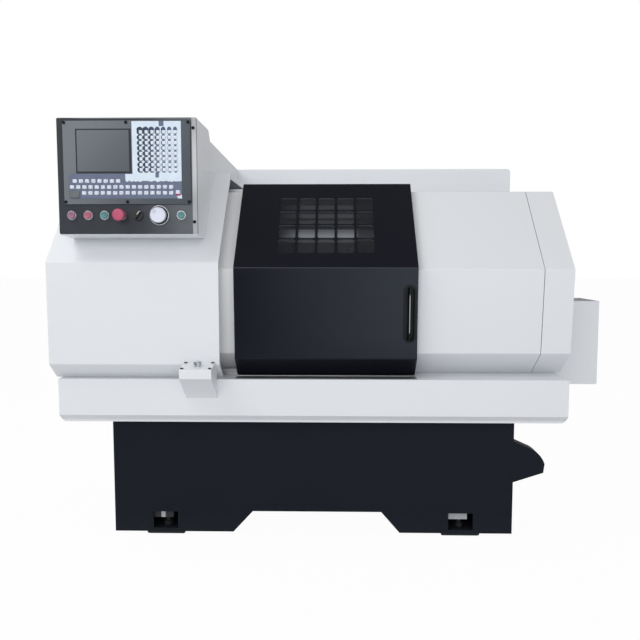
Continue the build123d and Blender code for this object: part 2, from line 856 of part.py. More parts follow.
def build_button_box():
    back = cover_chin_y - 1
    chin_rise = (cover_chin_z - deck_z) / (cover_foot_y - cover_chin_y)
    step_z = cover_chin_z - chin_rise * (tray_front - cover_chin_y) - 2
    points = [(tray_front - seat, pod_bottom), (pod_front, pod_chin_z), (pod_front, pod_top_front),
              (back, pod_top_back), (back, cover_chin_z - 1), (tray_front - seat, step_z)]
    body = plate_x(points, pod_left, pod_right)
    body = fillet(body.edges().filter_by(Axis.X).sort_by(Axis.Y)[0:2], 3)
    inner = inset_path([points[0], points[1], points[2], points[3]], 2)
    inner[0] = (points[0][0] + 1, inner[0][1] + 4)
    inside = inner[:3] + [(back - 2, inner[2][1] + 8), (back - 2, cover_chin_z - 8),
                          (tray_front - 4, step_z - 8), (tray_front - 4, pod_bottom + 10)]
    body -= plate_x(inside[1:], pod_left + 2, pod_right - 2)
    x = (pod_left + pod_right) / 2
    return body - rod_z(x, pod_button_y, pod_bottom + 60, pod_top_back + 10, 9 + fit)


def build_box_button():
    x = (pod_left + pod_right) / 2
    rest = pod_top_z(pod_button_y - pod_button_radius)
    head = rod_z(x, pod_button_y, pod_top_back - 0.5, pod_top_back + 10, pod_button_radius)
    head = chamfer(head.edges().group_by(Axis.Z)[-1], 1.2)
    return head + rod_z(x, pod_button_y, rest - 22, pod_top_back, 9)


# Bed, headstock and spindle

def build_bed():
    """Cast bed: two ways on a ribbed beam that stands on two feet in the tray."""
    low = bed_top - beam_height
    half = bed_width / 2
    floor = base_top + seat + sheet + seat
    beam = block(bed_left, bed_right, axis_y - half, axis_y + half, low, bed_top)
    for side in (-1, 1):
        edge = axis_y + side * half
        beam -= block(bed_left - 1, bed_right + 1, min(edge, edge - side * 16), max(edge, edge - side * 16),
                      low + 24, bed_top - 42)
    x = bed_left + rib
    while x + window_pitch - rib < bed_right:
        beam -= block(x, x + window_pitch - rib, axis_y - half + way_width, axis_y + half - way_width,
                      low - 1, bed_top + 1)
        x += window_pitch
    y = way_crest_y()
    vee = [(y - vee_height, bed_top - 0.5), (y - vee_height, bed_top), (y, bed_top + vee_height),
           (y + vee_height, bed_top), (y + vee_height, bed_top - 0.5)]
    beam += plate_x(vee, cover_right + 5, bed_right)
    for x0, x1 in ((bed_left + 10, bed_left + 330), (bed_right - 300, bed_right - 10)):
        foot = block(x0, x1, axis_y - half - 10, axis_y + half + 10, floor, low)
        for y in (axis_y - half - 10, axis_y + half + 10):
            foot -= block(x0 + 40, x1 - 40, y - 18, y + 18, floor + 30, low - 30)
        beam += foot
    for x0, x1 in ((cover_right + 20, cover_right + 55), (bed_right - 35, end_x - 4)):
        bearing = block(x0, x1, z_screw_y - 40, axis_y - half + 17, z_screw_z - 42, z_screw_z + 42)
        beam += bearing - rod_x(x0 - 1, x1 + 1, z_screw_y, z_screw_z, z_screw_radius + fit)
    return beam


def build_headstock():
    """The headstock casting with bearing covers, a hollow between the bearings and cooling pockets."""
    half = head_width / 2
    low = bed_top + seat
    points = [(axis_y - half, low), (axis_y - half, low + 90), (axis_y - half + 35, head_top - 40),
              (axis_y - half + 75, head_top), (axis_y + half - 75, head_top),
              (axis_y + half - 35, head_top - 40),
              (axis_y + half, low + 90), (axis_y + half, low)]
    body = plate_x(points, head_left, head_right - 14)
    body = fillet(body.edges().filter_by(Axis.X).sort_by(Axis.Z)[4:], 12)
    for x0, x1 in ((head_right - 15, head_right), (head_left - 12, head_left + 1)):
        body += rod_x(x0, x1, axis_y, axis_z, 88)
    body -= rod_x(head_left - 20, head_right + 5, axis_y, axis_z, spindle_radius + fit)
    body -= rod_x(head_left + 70, head_right - 90, axis_y, axis_z, spindle_radius + 25)
    for x in (head_left + 90, head_left + 150, head_left + 210):
        body -= block(x, x + 22, axis_y - half - 1, axis_y - half + 30, low + 20, low + 80)
    return body


def build_spindle():
    shaft = rod_x(pulley_left - 12, head_right + 1, axis_y, axis_z, spindle_radius)
    flange = rod_x(head_right + seat, head_right + seat + nose_flange, axis_y, axis_z, nose_flange_radius)
    flange = chamfer(flange.edges().group_by(Axis.X)[-1], 2)
    bore = rod_x(pulley_left - 20, head_right + 40, axis_y, axis_z, spindle_bore)
    return shaft + flange - bore


chuck_back = head_right + seat + nose_flange
chuck_face = chuck_back + chuck_length


def build_chuck_body():
    body = rod_x(chuck_back, chuck_face, axis_y, axis_z, chuck_radius)
    body = chamfer(body.edges().group_by(Axis.X)[-1] + body.edges().group_by(Axis.X)[0], 3)
    body -= rod_x(chuck_back - 1, chuck_face + 1, axis_y, axis_z, spindle_bore + 6)
    root = axis_z + jaw_root - jaw_travel - 10
    slot = block(chuck_face - 24, chuck_face + 1,
                 axis_y - jaw_width / 2 - seat, axis_y + jaw_width / 2 + seat,
                 root, axis_z + chuck_radius + 5)
    tee = block(chuck_face - 24, chuck_face - 12, axis_y - jaw_width / 2 - 6 - seat,
                axis_y + jaw_width / 2 + 6 + seat, root, axis_z + chuck_radius + 5)
    for k in range(3):
        turn = Pos(0, axis_y, axis_z) * Rot(120 * k, 0, 0) * Pos(0, -axis_y, -axis_z)
        body -= turn * (slot + tee)
        body -= turn * rod_z(chuck_back + 40, axis_y,
                             axis_z - chuck_radius - 1, axis_z - chuck_radius + 16, 8)
    return body


def build_jaw(k):
    """A stepped jaw with a tee-shaped foot in the chuck's slot."""
    half = jaw_width / 2
    foot = block(chuck_face - 24 + seat, chuck_face - 12 - seat, axis_y - half - 6, axis_y + half + 6,
                 axis_z + jaw_root, axis_z + chuck_radius - 6)
    low = chuck_face - 13
    steps = [(low, axis_z + jaw_root), (chuck_face + 38, axis_z + jaw_root), (chuck_face + 38, axis_z + 52),
             (chuck_face + 24, axis_z + 52), (chuck_face + 24, axis_z + 70), (chuck_face + 10, axis_z + 70),
             (chuck_face + 10, axis_z + chuck_radius - 8), (low, axis_z + chuck_radius - 8)]
    body = plate_y(steps, axis_y - half, axis_y + half)
    turn = Pos(0, axis_y, axis_z) * Rot(120 * k, 0, 0) * Pos(0, -axis_y, -axis_z)
    return turn * (foot + body)


def grooved_pulley(y, z, radius, bore, solid_shaft):
    """A wheel with three shallow belt grooves between two rims."""
    right = pulley_left + belt_width + 12
    wheel = rod_x(pulley_left, right, y, z, radius + 6)
    wheel -= rod_x(pulley_left + 6, right - 6, y, z, radius + 7) - rod_x(pulley_left, right, y, z, radius)
    wheel -= rod_x(pulley_left - 1, pulley_left + 12, y, z, radius - 12) - rod_x(
        pulley_left - 1, pulley_left + 13, y, z, bore + 12)
    if not solid_shaft:
        wheel -= rod_x(pulley_left - 1, right + 1, y, z, bore)
    return wheel


def build_spindle_pulley():
    return grooved_pulley(axis_y, axis_z, spindle_pulley_radius, spindle_radius + fit, False)


def build_motor_pulley():
    wheel = grooved_pulley(motor_y, motor_z, motor_pulley_radius, 14, True)
    return wheel + rod_x(pulley_left + belt_width, motor_left() + 60, motor_y, motor_z, 14)


def motor_left():
    return pulley_left + belt_width + 30


def build_spindle_motor():
    """A finned motor on a foot in the tray."""
    left = motor_left()
    right = left + motor_length
    floor = base_top + seat + sheet + seat
    body = rod_x(left, right, motor_y, motor_z, motor_radius - 8)
    count = 24
    for k in range(count):
        angle = 360 / count * k
        fin = block(left + 25, right - 60, motor_y - 1.5, motor_y + 1.5, motor_z + motor_radius - 10,
                    motor_z + motor_radius)
        body += Pos(0, motor_y, motor_z) * Rot(angle, 0, 0) * Pos(0, -motor_y, -motor_z) * fin
    body += rod_x(left, left + 18, motor_y, motor_z, motor_radius)
    body += rod_x(right - 60, right, motor_y, motor_z, motor_radius)
    body += block(left + 40, right - 80, motor_y - 80, motor_y + 80, floor, motor_z - motor_radius + 20)
    body -= rod_x(left - 1, left + 61, motor_y, motor_z, 14 + fit)
    terminal = block(left + 90, left + 190, motor_y - 45, motor_y + 45, motor_z + motor_radius - 12,
                     motor_z + motor_radius + 40)
    return body + terminal


def build_drive_belt():
    """A flat belt with straight runs, hugging both pulleys."""
    gap = seat
    loops = []
    for extra in (gap + belt_thickness - 2, gap):
        upper = Pos(axis_y, axis_z) * Circle(spindle_pulley_radius + extra)
        lower = Pos(motor_y, motor_z) * Circle(motor_pulley_radius + extra)
        loops.append(make_hull(upper.edges() + lower.edges()))
    ring = loops[0] - loops[1]
    start = pulley_left + 6 + seat
    return Pos(start, 0, 0) * extrude(Plane.YZ * ring, amount=belt_width - 2 * seat)


# Feed slides

def way_crest_y():
    """Y of the crest of the bed's front way."""
    return axis_y - bed_width / 2 + way_width / 2


def way_groove(x0, x1):
    """The groove that rides on the front way, clear of it all round."""
    y = way_crest_y()
    low = bed_top + seat
    span = vee_height + seat + 0.5
    return plate_x([(y - span, low - 1), (y - span, low + 0.5), (y, low + vee_height + 1),
                    (y + span, low + 0.5), (y + span, low - 1)], x0, x1)


def build_saddle():
    """The saddle with its apron nut, two guides and the bearing of the cross screw."""
    x0 = saddle_x - saddle_length / 2
    x1 = saddle_x + saddle_length / 2
    low = bed_top + seat
    front = axis_y - bed_width / 2
    plate = block(x0, x1, front - 145, axis_y + bed_width / 2 + 5, low, saddle_top)
    plate -= way_groove(x0 - 1, x1 + 1)
    for side in (-1, 1):
        x = saddle_x + side * 65
        plate += block(x - 14, x + 14, front - 145, axis_y + bed_width / 2 + 5, saddle_top - 1,
                       saddle_top + guide_height)
    plate += block(saddle_x - 35, saddle_x + 35, front - 157, front - 144, low, saddle_top + guide_height)
    nut = block(saddle_x - 45, saddle_x + 45, z_screw_y - 34, z_screw_y + 20, z_screw_z - 34, low + 1)
    nut -= rod_x(saddle_x - 50, saddle_x + 50, z_screw_y, z_screw_z, z_screw_radius + fit)
    plate += nut
    plate -= rod_y(saddle_x, front - 160, front - 140, x_screw_z(), x_screw_radius + fit)
    return plate


def x_screw_z():
    return saddle_top + guide_height / 2


def build_cross_slide():
    low = saddle_top + guide_height + seat
    top = low + slide_thickness
    plate = block(saddle_x - 80, saddle_x + 80, turret_y - 75, turret_y + 190, low, top)
    nut = block(saddle_x - 22, saddle_x + 22, turret_y + 10, turret_y + 60, saddle_top + seat, low + 1)
    nut -= rod_y(saddle_x, turret_y, turret_y + 70, x_screw_z(), x_screw_radius + fit)
    stand = rod_z(saddle_x, turret_y, top - 1, turret_bottom() - seat, 48)
    return plate + nut + stand


def turret_bottom():
    return axis_z - tool_side - 42


def build_turret():
    """A four-way tool post with an open slot on each side and a locking nut on top."""
    low = turret_bottom()
    floor = axis_z - tool_side
    top = axis_z + 20
    half = turret_half
    body = block(saddle_x - half, saddle_x + half, turret_y - half, turret_y + half, low, top)
    body = chamfer(body.edges().filter_by(Axis.Z), 4)
    for k in range(4):
        turn = Pos(saddle_x, turret_y, 0) * Rot(0, 0, 90 * k)
        body -= turn * block(-half - 1, -half + tool_side + 4, -half - 1, half + 1, floor, axis_z + 2)
        for y in (-24, 0, 24):
            body += turn * rod_z(-half + 11, y, axis_z, top + 7, 4)
    body += rod_z(saddle_x, turret_y, top - 1, top + 14, 20)
    return body + Pos(saddle_x, turret_y, top + 14) * extrude(RegularPolygon(15, 6), amount=14)


def build_cutting_tools():
    tools = []
    half = turret_half
    for k in range(4):
        turn = Pos(saddle_x, turret_y, 0) * Rot(0, 0, 90 * k)
        outline = [(-half + 1, -half + 2), (-half + 1 + tool_side, -half + 2),
                   (-half + 1 + tool_side, tool_reach - 16), (-half + 3, tool_reach),
                   (-half + 1, tool_reach - 3)]
        shank = extrude(make_face(Polyline(*outline, close=True)), amount=tool_side)
        tools.append(turn * (Pos(0, 0, axis_z - tool_side) * shank))
    return Compound(tools)


def build_z_screw():
    rod = rod_x(cover_right + 22, end_x - 6, z_screw_y, z_screw_z, z_screw_radius)
    return chamfer(rod.edges().group_by(Axis.X)[0], 2)


def servo_motor(flange, length):
    """A square servo motor along +X from the origin, with its encoder cap and connectors."""
    half = flange / 2
    body = block(0, 10, -half, half, -half, half)
    body += block(10, length - 28, -half + 4, half - 4, -half + 4, half - 4)
    body = fillet(body.edges().filter_by(Axis.X), 4)
    body += block(length - 28, length, -half + 9, half - 9, -half + 9, half - 9)
    for x in (length * 0.45, length - 22):
        body += block(x, x + 16, -9, 9, half - 14, half + 12)
    return body


def build_z_motor():
    return Pos(end_x - 4 + seat, z_screw_y, z_screw_z) * servo_motor(100, 162)


def build_x_screw():
    front = axis_y - bed_width / 2 - 156
    return rod_y(saddle_x, front, axis_y + bed_width / 2 - 5, x_screw_z(), x_screw_radius)


def build_x_motor():
    front = axis_y - bed_width / 2 - 157 - seat
    return Pos(saddle_x, front, x_screw_z() - 14) * Rot(0, 0, -90) * servo_motor(70, 112)


def build_tailstock():
    """The tailstock on the ways, bored for the quill, with a clamping lever."""
    low = bed_top + seat
    half = bed_width / 2
    x0 = tail_left
    x1 = tail_left + tail_length
    body = block(x0, x1, axis_y - half, axis_y + half, low, low + 62)
    body -= way_groove(x0 - 1, x1 + 1)
    web = [(axis_y - 75, low + 61), (axis_y - 42, axis_z), (axis_y + 42, axis_z), (axis_y + 75, low + 61)]
    body += plate_x(web, x0, x1)
    body += rod_x(x0 - 10, x1, axis_y, axis_z, 46)
    body -= rod_x(x0 - 11, x1 - 12, axis_y, axis_z, quill_radius + fit)
    body -= rod_x(x1 - 13, x1 + 1, axis_y, axis_z, 10 + fit)
    lever = rod_y(x0 + 30, axis_y - 74, axis_y - 40, axis_z + 8, 7)
    return body + lever + Pos(x0 + 30, axis_y - 74, axis_z + 30) * Cylinder(6, 70)


def build_quill():
    left = tail_left - quill_out
    barrel = rod_x(left, tail_left + tail_length - 14, axis_y, axis_z, quill_radius)
    barrel = chamfer(barrel.edges().group_by(Axis.X)[0], 2)
    barrel -= rod_x(left - 1, left + 60, axis_y, axis_z, 12)
    return barrel - rod_x(left + 70, tail_left + tail_length, axis_y, axis_z, 10 + fit)


def build_tailstock_center():
    left = tail_left - quill_out
    shank = rod_x(left - 6, left + 58, axis_y, axis_z, 12 - fit)
    point = Pos(left - 21, axis_y, axis_z) * Rot(0, 90, 0) * Cone(0.5, 15, 30)
    return shank + point


def build_tailstock_wheel():
    """A spoked handwheel on the quill's screw, with its grip hanging at the bottom."""
    x = tail_left + tail_length + 8
    rim = rod_x(x, x + 14, axis_y, axis_z, wheel_radius)
    rim -= rod_x(x - 1, x + 15, axis_y, axis_z, wheel_radius - 15)
    rim = chamfer(rim.edges(), 4)
    wheel = rim + rod_x(x - 6, x + 16, axis_y, axis_z, 18)
    for k in range(3):
        spoke = block(x + 2, x + 12, axis_y - 6, axis_y + 6, axis_z + 12, axis_z + wheel_radius - 10)
        wheel += Pos(0, axis_y, axis_z) * Rot(60 + 120 * k, 0, 0) * Pos(0, -axis_y, -axis_z) * spoke
    grip = rod_x(x + 10, x + 50, axis_y, axis_z - wheel_radius + 9, 7)
    return wheel + grip + rod_x(tail_left + tail_length - 70, x, axis_y, axis_z, 10)


# Guard and rear cabinet

def build_motor_guard():
    """A box over the feed motor, open at the top between two flanges."""
    left = end_x + seat
    body = block(left, guard_right, guard_front, guard_back, guard_bottom, guard_top)
    body -= block(left - 1, guard_right - sheet, guard_front + sheet, guard_back - sheet,
                  guard_bottom + sheet, guard_top + 1)
    for y0 in (guard_front, guard_back - 8):
        body += block(left, guard_right, y0, y0 + 8, guard_top - sheet, guard_top)
    return body


def build_rear_cabinet():
    """The cabinet behind the machine with a hatch opening, hinge brackets with pins, and a cable gland."""
    body = block(cabinet_left, cabinet_right, cabinet_front, cabinet_back, cabinet_bottom, cabinet_top)
    body = fillet(body.edges().filter_by(Axis.Y).group_by(Axis.Z)[-1], 16)
    body -= block(cabinet_left + sheet, cabinet_right - sheet, cabinet_front + sheet, cabinet_back - sheet,
                  cabinet_bottom + sheet, cabinet_top - sheet)
    body -= block(hatch_left + 18, hatch_right - 18, cabinet_back - sheet - 1, cabinet_back + 1,
                  hatch_bottom + 18, hatch_top - 18)
    for z in hinge_levels():
        bracket = block(hatch_left - 22, hatch_left - 4, cabinet_back - 1, hinge_y() + 7, z - 12, z - seat)
        pin = rod_z(hatch_left - 13, hinge_y(), z - 2, z + 28, 4)
        body += bracket + pin
    gland_y = (cabinet_front + cabinet_back) / 2
    gland = Pos(gland_x, gland_y, cabinet_bottom - 12) * extrude(RegularPolygon(18, 6), amount=12)
    gland += rod_z(gland_x, gland_y, cabinet_bottom - gland_length, cabinet_bottom - 12, 14)
    body += gland
    return body - rod_z(gland_x, gland_y, cabinet_bottom - gland_length - 1,
                        cabinet_bottom + sheet + 1, gland_bore)


def build_servo_drives():
    """Mounting plate in the cabinet with three feed drives, a spindle drive and a row of switchgear."""
    back = cabinet_front + sheet + seat
    plate = block(hatch_left + 30, hatch_right - 30, back, back + 3, hatch_bottom + 40, hatch_top - 40)
    for k in range(3):
        x = hatch_left + 90 + 90 * k
        drive = block(x, x + 62, back + 3, back + 98, hatch_top - 300, hatch_top - 110)
        for z in range(5):
            drive -= block(x + 12, x + 50, back + 90, back + 99,
                           hatch_top - 280 + 14 * z, hatch_top - 274 + 14 * z)
        plate += drive
    inverter = block(hatch_right - 330, hatch_right - 170, back + 3, back + 96,
                     hatch_top - 350, hatch_top - 100)
    for z in range(7):
        inverter -= block(hatch_right - 310, hatch_right - 190, back + 88, back + 97,
                          hatch_top - 330 + 12 * z, hatch_top - 325 + 12 * z)
    plate += inverter
    for k in range(9):
        x = hatch_left + 90 + 56 * k
        switch = block(x, x + 46, back + 3, back + 70, hatch_bottom + 150, hatch_bottom + 230)
        switch -= block(x + 8, x + 38, back + 60, back + 71, hatch_bottom + 175, hatch_bottom + 205)
        plate += switch
    return plate


def hinge_y():
    return cabinet_back + 9.0


def hinge_levels():
    return [hatch_bottom + 90, hatch_top - 120]


def build_cabinet_door():
    face = cabinet_back + seat
    panel = block(hatch_left, hatch_right, face, face + hatch_thickness, hatch_bottom, hatch_top)
    panel = fillet(panel.edges().filter_by(Axis.Y), 6)
    panel -= block(hatch_left + 20, hatch_right - 20, face - 1, face + hatch_thickness - sheet,
                   hatch_bottom + 20, hatch_top - 20)
    for k in range(9):
        z = hatch_bottom + 60 + 16 * k
        for x in (hatch_left + 120, hatch_right - 240):
            panel -= block(x, x + 120, face, face + hatch_thickness + 1, z, z + 5)
    for z in hinge_levels():
        knuckle = rod_z(hatch_left - 13, hinge_y(), z, z + 26, 7.5)
        knuckle += block(hatch_left - 13, hatch_left + 4, hinge_y() - 2, hinge_y() + 2, z, z + 26)
        panel += knuckle
        panel -= rod_z(hatch_left - 13, hinge_y(), z - 1, z + 30, 4 + fit)
    return panel - rod_y(hatch_right - 34, face - 5, face + 30, latch_z(), 9 + fit)


def latch_z():
    return (hatch_bottom + hatch_top) / 2


def build_cabinet_latch():
    """A turning latch whose grip reaches as far back as the emergency stop reaches to the front."""
    face = cabinet_back + seat + hatch_thickness
    x = hatch_right - 34
    head = rod_y(x, face + seat, face + 4, latch_z(), 16)
    grip = block(x - 3, x + 3, face + 3, -mushroom_front, latch_z() - 13, latch_z() + 13)
    stem = rod_y(x, cabinet_back - 9, face + 1, latch_z(), 9)
    cam = block(x - 9, x + 9, cabinet_back - 9, cabinet_back - 4.5, latch_z() - 40, latch_z() + 9)
    return head + grip + stem + cam


makers = {
    "base_frame": build_base,
    "leveling_feet": build_leveling_feet,
    "coolant_tank": build_coolant_tank,
    "drip_tray": build_tray,
    "bed": build_bed,
    "headstock": build_headstock,
    "spindle": build_spindle,
    "chuck_body": build_chuck_body,
    "chuck_jaw_1": lambda: build_jaw(0),
    "chuck_jaw_2": lambda: build_jaw(1),
    "chuck_jaw_3": lambda: build_jaw(2),
    "spindle_pulley": build_spindle_pulley,
    "spindle_motor": build_spindle_motor,
    "motor_pulley": build_motor_pulley,
    "drive_belt": build_drive_belt,
    "saddle": build_saddle,
    "cross_slide": build_cross_slide,
    "turret": build_turret,
    "cutting_tools": build_cutting_tools,
    "z_screw": build_z_screw,
    "z_motor": build_z_motor,
    "x_screw": build_x_screw,
    "x_motor": build_x_motor,
    "tailstock": build_tailstock,
    "quill": build_quill,
    "tailstock_center": build_tailstock_center,
    "tailstock_wheel": build_tailstock_wheel,
    "left_frame": build_left_frame,
    "right_cover": build_right_cover,
    "end_cover": build_end_cover,
    "roof_panel": build_roof_panel,
    "headstock_cover": build_headstock_cover,
    "door_shell": build_door_shell,
    "door_window": build_door_window,
    "door_handle": build_door_handle,
    "door_rails": build_door_rails,
    "door_glides": build_door_glides,
    "control_box": build_control_box,
    "hood": build_hood,
    "control_panel": build_control_panel,
    "controller": build_controller,
    "screen": build_screen,
    "keypad": build_keypad,
    "keys": build_keys,
    "button_bezels": build_button_bezels,
    "off_button": lambda: push_button(off_x),
    "stop_button": lambda: push_button(stop_x),
    "start_button": lambda: push_button(start_x),
    "light_button": lambda: push_button(light_x),
    "emergency_stop": build_emergency_stop,
    "mode_switch": build_mode_switch,
    "handwheel": build_handwheel,
    "panel_screws": build_panel_screws,
    "button_box": build_button_box,
    "box_button": build_box_button,
    "motor_guard": build_motor_guard,
    "rear_cabinet": build_rear_cabinet,
    "servo_drives": build_servo_drives,
    "cabinet_door": build_cabinet_door,
    "cabinet_latch": build_cabinet_latch,
}

for name, make in makers.items():
    export_step(one(make()), f"parts/{name}.step")
    print(name)
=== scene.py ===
import bpy
import bmesh
import math
import numpy as np
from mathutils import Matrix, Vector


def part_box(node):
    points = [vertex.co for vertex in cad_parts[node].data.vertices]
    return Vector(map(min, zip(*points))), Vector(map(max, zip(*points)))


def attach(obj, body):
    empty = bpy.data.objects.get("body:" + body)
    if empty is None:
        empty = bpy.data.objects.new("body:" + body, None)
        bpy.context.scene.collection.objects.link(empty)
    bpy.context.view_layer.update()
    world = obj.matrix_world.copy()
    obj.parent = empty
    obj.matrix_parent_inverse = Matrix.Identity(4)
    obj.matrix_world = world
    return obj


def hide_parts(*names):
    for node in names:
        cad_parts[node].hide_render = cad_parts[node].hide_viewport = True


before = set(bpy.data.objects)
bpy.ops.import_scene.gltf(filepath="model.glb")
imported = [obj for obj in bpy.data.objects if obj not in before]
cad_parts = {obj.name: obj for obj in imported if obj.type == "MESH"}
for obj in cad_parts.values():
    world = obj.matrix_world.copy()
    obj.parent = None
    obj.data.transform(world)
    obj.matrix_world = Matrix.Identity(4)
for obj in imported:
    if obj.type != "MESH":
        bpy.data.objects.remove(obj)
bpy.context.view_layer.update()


# The pedestal is a welded steel box on two feet, with an arch between them and a nose on the
# right. It is sprayed with a hard, finely grained navy-black machine enamel.

class Value:
    """A shader socket that can be used in sums: 1 - mask adds its Math node."""

    def __init__(self, finish, socket):
        self.finish = finish
        self.socket = socket

    def sum_of(self, operation, first, second):
        return self.finish.add("ShaderNodeMath", {"operation": operation}, {0: first, 1: second})

    def __add__(self, other):
        return self.sum_of("ADD", self, other)

    def __radd__(self, other):
        return self.sum_of("ADD", other, self)

    def __sub__(self, other):
        return self.sum_of("SUBTRACT", self, other)

    def __rsub__(self, other):
        return self.sum_of("SUBTRACT", other, self)

    def __mul__(self, other):
        return self.sum_of("MULTIPLY", self, other)

    def __rmul__(self, other):
        return self.sum_of("MULTIPLY", other, self)

    def __truediv__(self, other):
        return self.sum_of("DIVIDE", self, other)

    def __pow__(self, other):
        return self.sum_of("POWER", self, other)


class Finish:
    """A material with one principled coat; add() makes any other node."""

    def __init__(self, name, **coat):
        self.material = bpy.data.materials.new(name)
        self.material.use_nodes = True
        self.nodes = self.material.node_tree.nodes
        self.links = self.material.node_tree.links
        self.nodes.clear()
        self.coat = self.nodes.new("ShaderNodeBsdfPrincipled")
        self.end = self.nodes.new("ShaderNodeOutputMaterial")
        self.links.new(self.coat.outputs[0], self.end.inputs[0])
        self.place = self.add("ShaderNodeTexCoord", out="Object")
        self.set(**coat)

    def feed(self, socket, value):
        if isinstance(value, Value):
            self.links.new(value.socket, socket)
        elif socket.type == "RGBA" and len(value) == 3:
            socket.default_value = (*value, 1.0)
        else:
            socket.default_value = value

    def set(self, **coat):
        for name, value in coat.items():
            self.feed(self.coat.inputs[name.replace("_", " ")], value)

    def add(self, kind, settings=None, sockets=None, out=0):
        node = self.nodes.new(kind)
        for name, value in (settings or {}).items():
            setattr(node, name, value)
        for name, value in (sockets or {}).items():
            self.feed(node.inputs[name], value)
        return Value(self, node.outputs[out])


def grain(finish, scale, detail=2.0, stretch=(1.0, 1.0, 1.0)):
    """Noise from 0 to 1: scale is in lumps per metre, and a small stretch draws it out along an axis."""
    place = finish.add("ShaderNodeMapping", {}, {"Vector": finish.place, "Scale": stretch})
    return finish.add("ShaderNodeTexNoise", {}, {"Vector": place, "Scale": scale, "Detail": detail})


def fade(finish, value, low, high):
    """0 below low, 1 above high, and a smooth step between them."""
    return finish.add("ShaderNodeMapRange", {"interpolation_type": "SMOOTHSTEP"},
                      {"Value": value, "From Min": low, "From Max": high})


def colour_mix(finish, mask, first, second):
    """The first colour where the mask is 0, the second where it is 1."""
    return finish.add("ShaderNodeMix", {"data_type": "RGBA"}, {0: mask, 6: first, 7: second}, out=2)


def relief(finish, height, depth, strength):
    """Bump from a height of 0 to 1, over a depth in metres."""
    finish.set(Normal=finish.add("ShaderNodeBump", {},
                                 {"Height": height, "Distance": depth, "Strength": strength}))


def axis(finish, letter):
    """One coordinate of the object, in metres."""
    return finish.add("ShaderNodeSeparateXYZ", {}, {"Vector": finish.place}, out="XYZ".index(letter))


def dress(finish, *names):
    """Gives CAD nodes a finish."""
    for name in names:
        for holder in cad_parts[name].material_slots:
            holder.material = finish.material


splash_height = 0.10
enamel = Finish("enamel", Specular_IOR_Level=0.12)
dust = (1 - fade(enamel, axis(enamel, "Z"), 0.0, splash_height)) * grain(enamel, 30.0, 4.0)
paint = colour_mix(enamel, grain(enamel, 2.5, 3.0), (0.0090, 0.0118, 0.0178), (0.0122, 0.0150, 0.0225))
enamel.set(Base_Color=colour_mix(enamel, dust * 0.20, paint, (0.045, 0.046, 0.048)))
enamel.set(Roughness=0.42 + 0.16 * grain(enamel, 60.0))
relief(enamel, grain(enamel, 420.0, 3.0), 0.00025, 0.5)
dress(enamel, "base_frame")


# Four painted steel plates lie under the feet and carry the levelling bolts. A bright steel wedge
# on each adjusts it; shade is painted over the wedges at the front, so in the left front pocket only a sliver
# of it stays bright.

def past(finish, value, edge, soft):
    """0 before an edge and 1 past it, with a smooth step that reaches soft to both sides."""
    return fade(finish, value, edge - soft, edge + soft)


def band(finish, value, low, high, soft):
    """1 between two edges and 0 outside them."""
    return past(finish, value, low, soft) * (1 - past(finish, value, high, soft))


wedge_low, wedge_high = 0.050, 0.084
sliver_left, sliver_right, middle_right = -0.633, -0.618, -0.300
front_depth = 0.1
foot = Finish("foot_plate", Specular_IOR_Level=0.3)
streak = grain(foot, 60.0, 4.0, (0.15, 1.0, 1.0))
across = axis(foot, "X")
at_front = 1 - fade(foot, axis(foot, "Y"), 0.0, front_depth)
# Painted shade: the wedges in the front pockets take the dull colour where the pockets shade them.
left_shade = 0.97 * (1 - past(foot, across, sliver_left, 0.001)) * at_front
middle_shade = 0.97 * band(foot, across, sliver_right, middle_right, 0.002) * at_front
wedge = band(foot, axis(foot, "Z"), wedge_low, wedge_high, 0.0005) * (1 - left_shade) * (1 - middle_shade)
dull = colour_mix(foot, streak, (0.012, 0.013, 0.016), (0.030, 0.031, 0.034))
bright = colour_mix(foot, streak, (0.34, 0.36, 0.38), (0.52, 0.54, 0.56))
foot.set(Base_Color=colour_mix(foot, wedge, dull, bright))
foot.set(Roughness=0.34 + 0.25 * grain(foot, 180.0, 3.0))
relief(foot, streak, 0.0001, 0.3)
dress(foot, "leveling_feet")


# The bed, the headstock and the tailstock are iron castings in grey-green filler and enamel; the
# bed's two ways are ground bright, and keep a film of oil.

way_low, way_high = 0.80885, 0.8230
casting = Finish("casting", Specular_IOR_Level=0.5)
height = axis(casting, "Z")
way = past(casting, height, way_low, 0.00035) * (1 - past(casting, height, way_high, 0.0005))
ground = grain(casting, 90.0, 3.0, (0.05, 1.0, 1.0))
paint = colour_mix(casting, grain(casting, 8.0, 4.0), (0.24, 0.29, 0.29), (0.33, 0.38, 0.37))
bright = colour_mix(casting, ground, (0.42, 0.42, 0.43), (0.62, 0.62, 0.62))
casting.set(Base_Color=colour_mix(casting, way, paint, bright))
casting.set(Metallic=way, Roughness=0.50 - 0.22 * way + 0.10 * ground)
relief(casting, grain(casting, 260.0, 4.0) * (1 - way), 0.0006, 0.5)
dress(casting, "bed", "headstock", "tailstock")


# Spindle, chuck body, quill and tool post are machined from steel bar, which leaves fine tool marks
# across their length. The chuck sits on the spindle's nose, and the tool post on its slide.

def stripes(finish, direction, scale, distortion=0.0):
    """Bands of a sine wave along an axis, one every 2 * pi / (20 * scale) metres."""
    return finish.add("ShaderNodeTexWave", {"wave_type": "BANDS", "bands_direction": direction},
                      {"Vector": finish.place, "Scale": scale, "Distortion": distortion})


turned = Finish("turned_steel", Metallic=1.0)
rings = stripes(turned, "X", 190.0, distortion=0.6)
turned.set(Base_Color=colour_mix(turned, grain(turned, 40.0, 3.0), (0.50, 0.50, 0.52), (0.66, 0.66, 0.67)))
turned.set(Roughness=0.20 + 0.16 * rings + 0.08 * grain(turned, 15.0))
relief(turned, rings, 0.00006, 0.4)
dress(turned, "spindle", "chuck_body", "quill", "turret")


# Chuck jaws, cutting tools and the live centre are hardened and ground, darker and blue-grey, with
# a blackened skin left between the ground places.

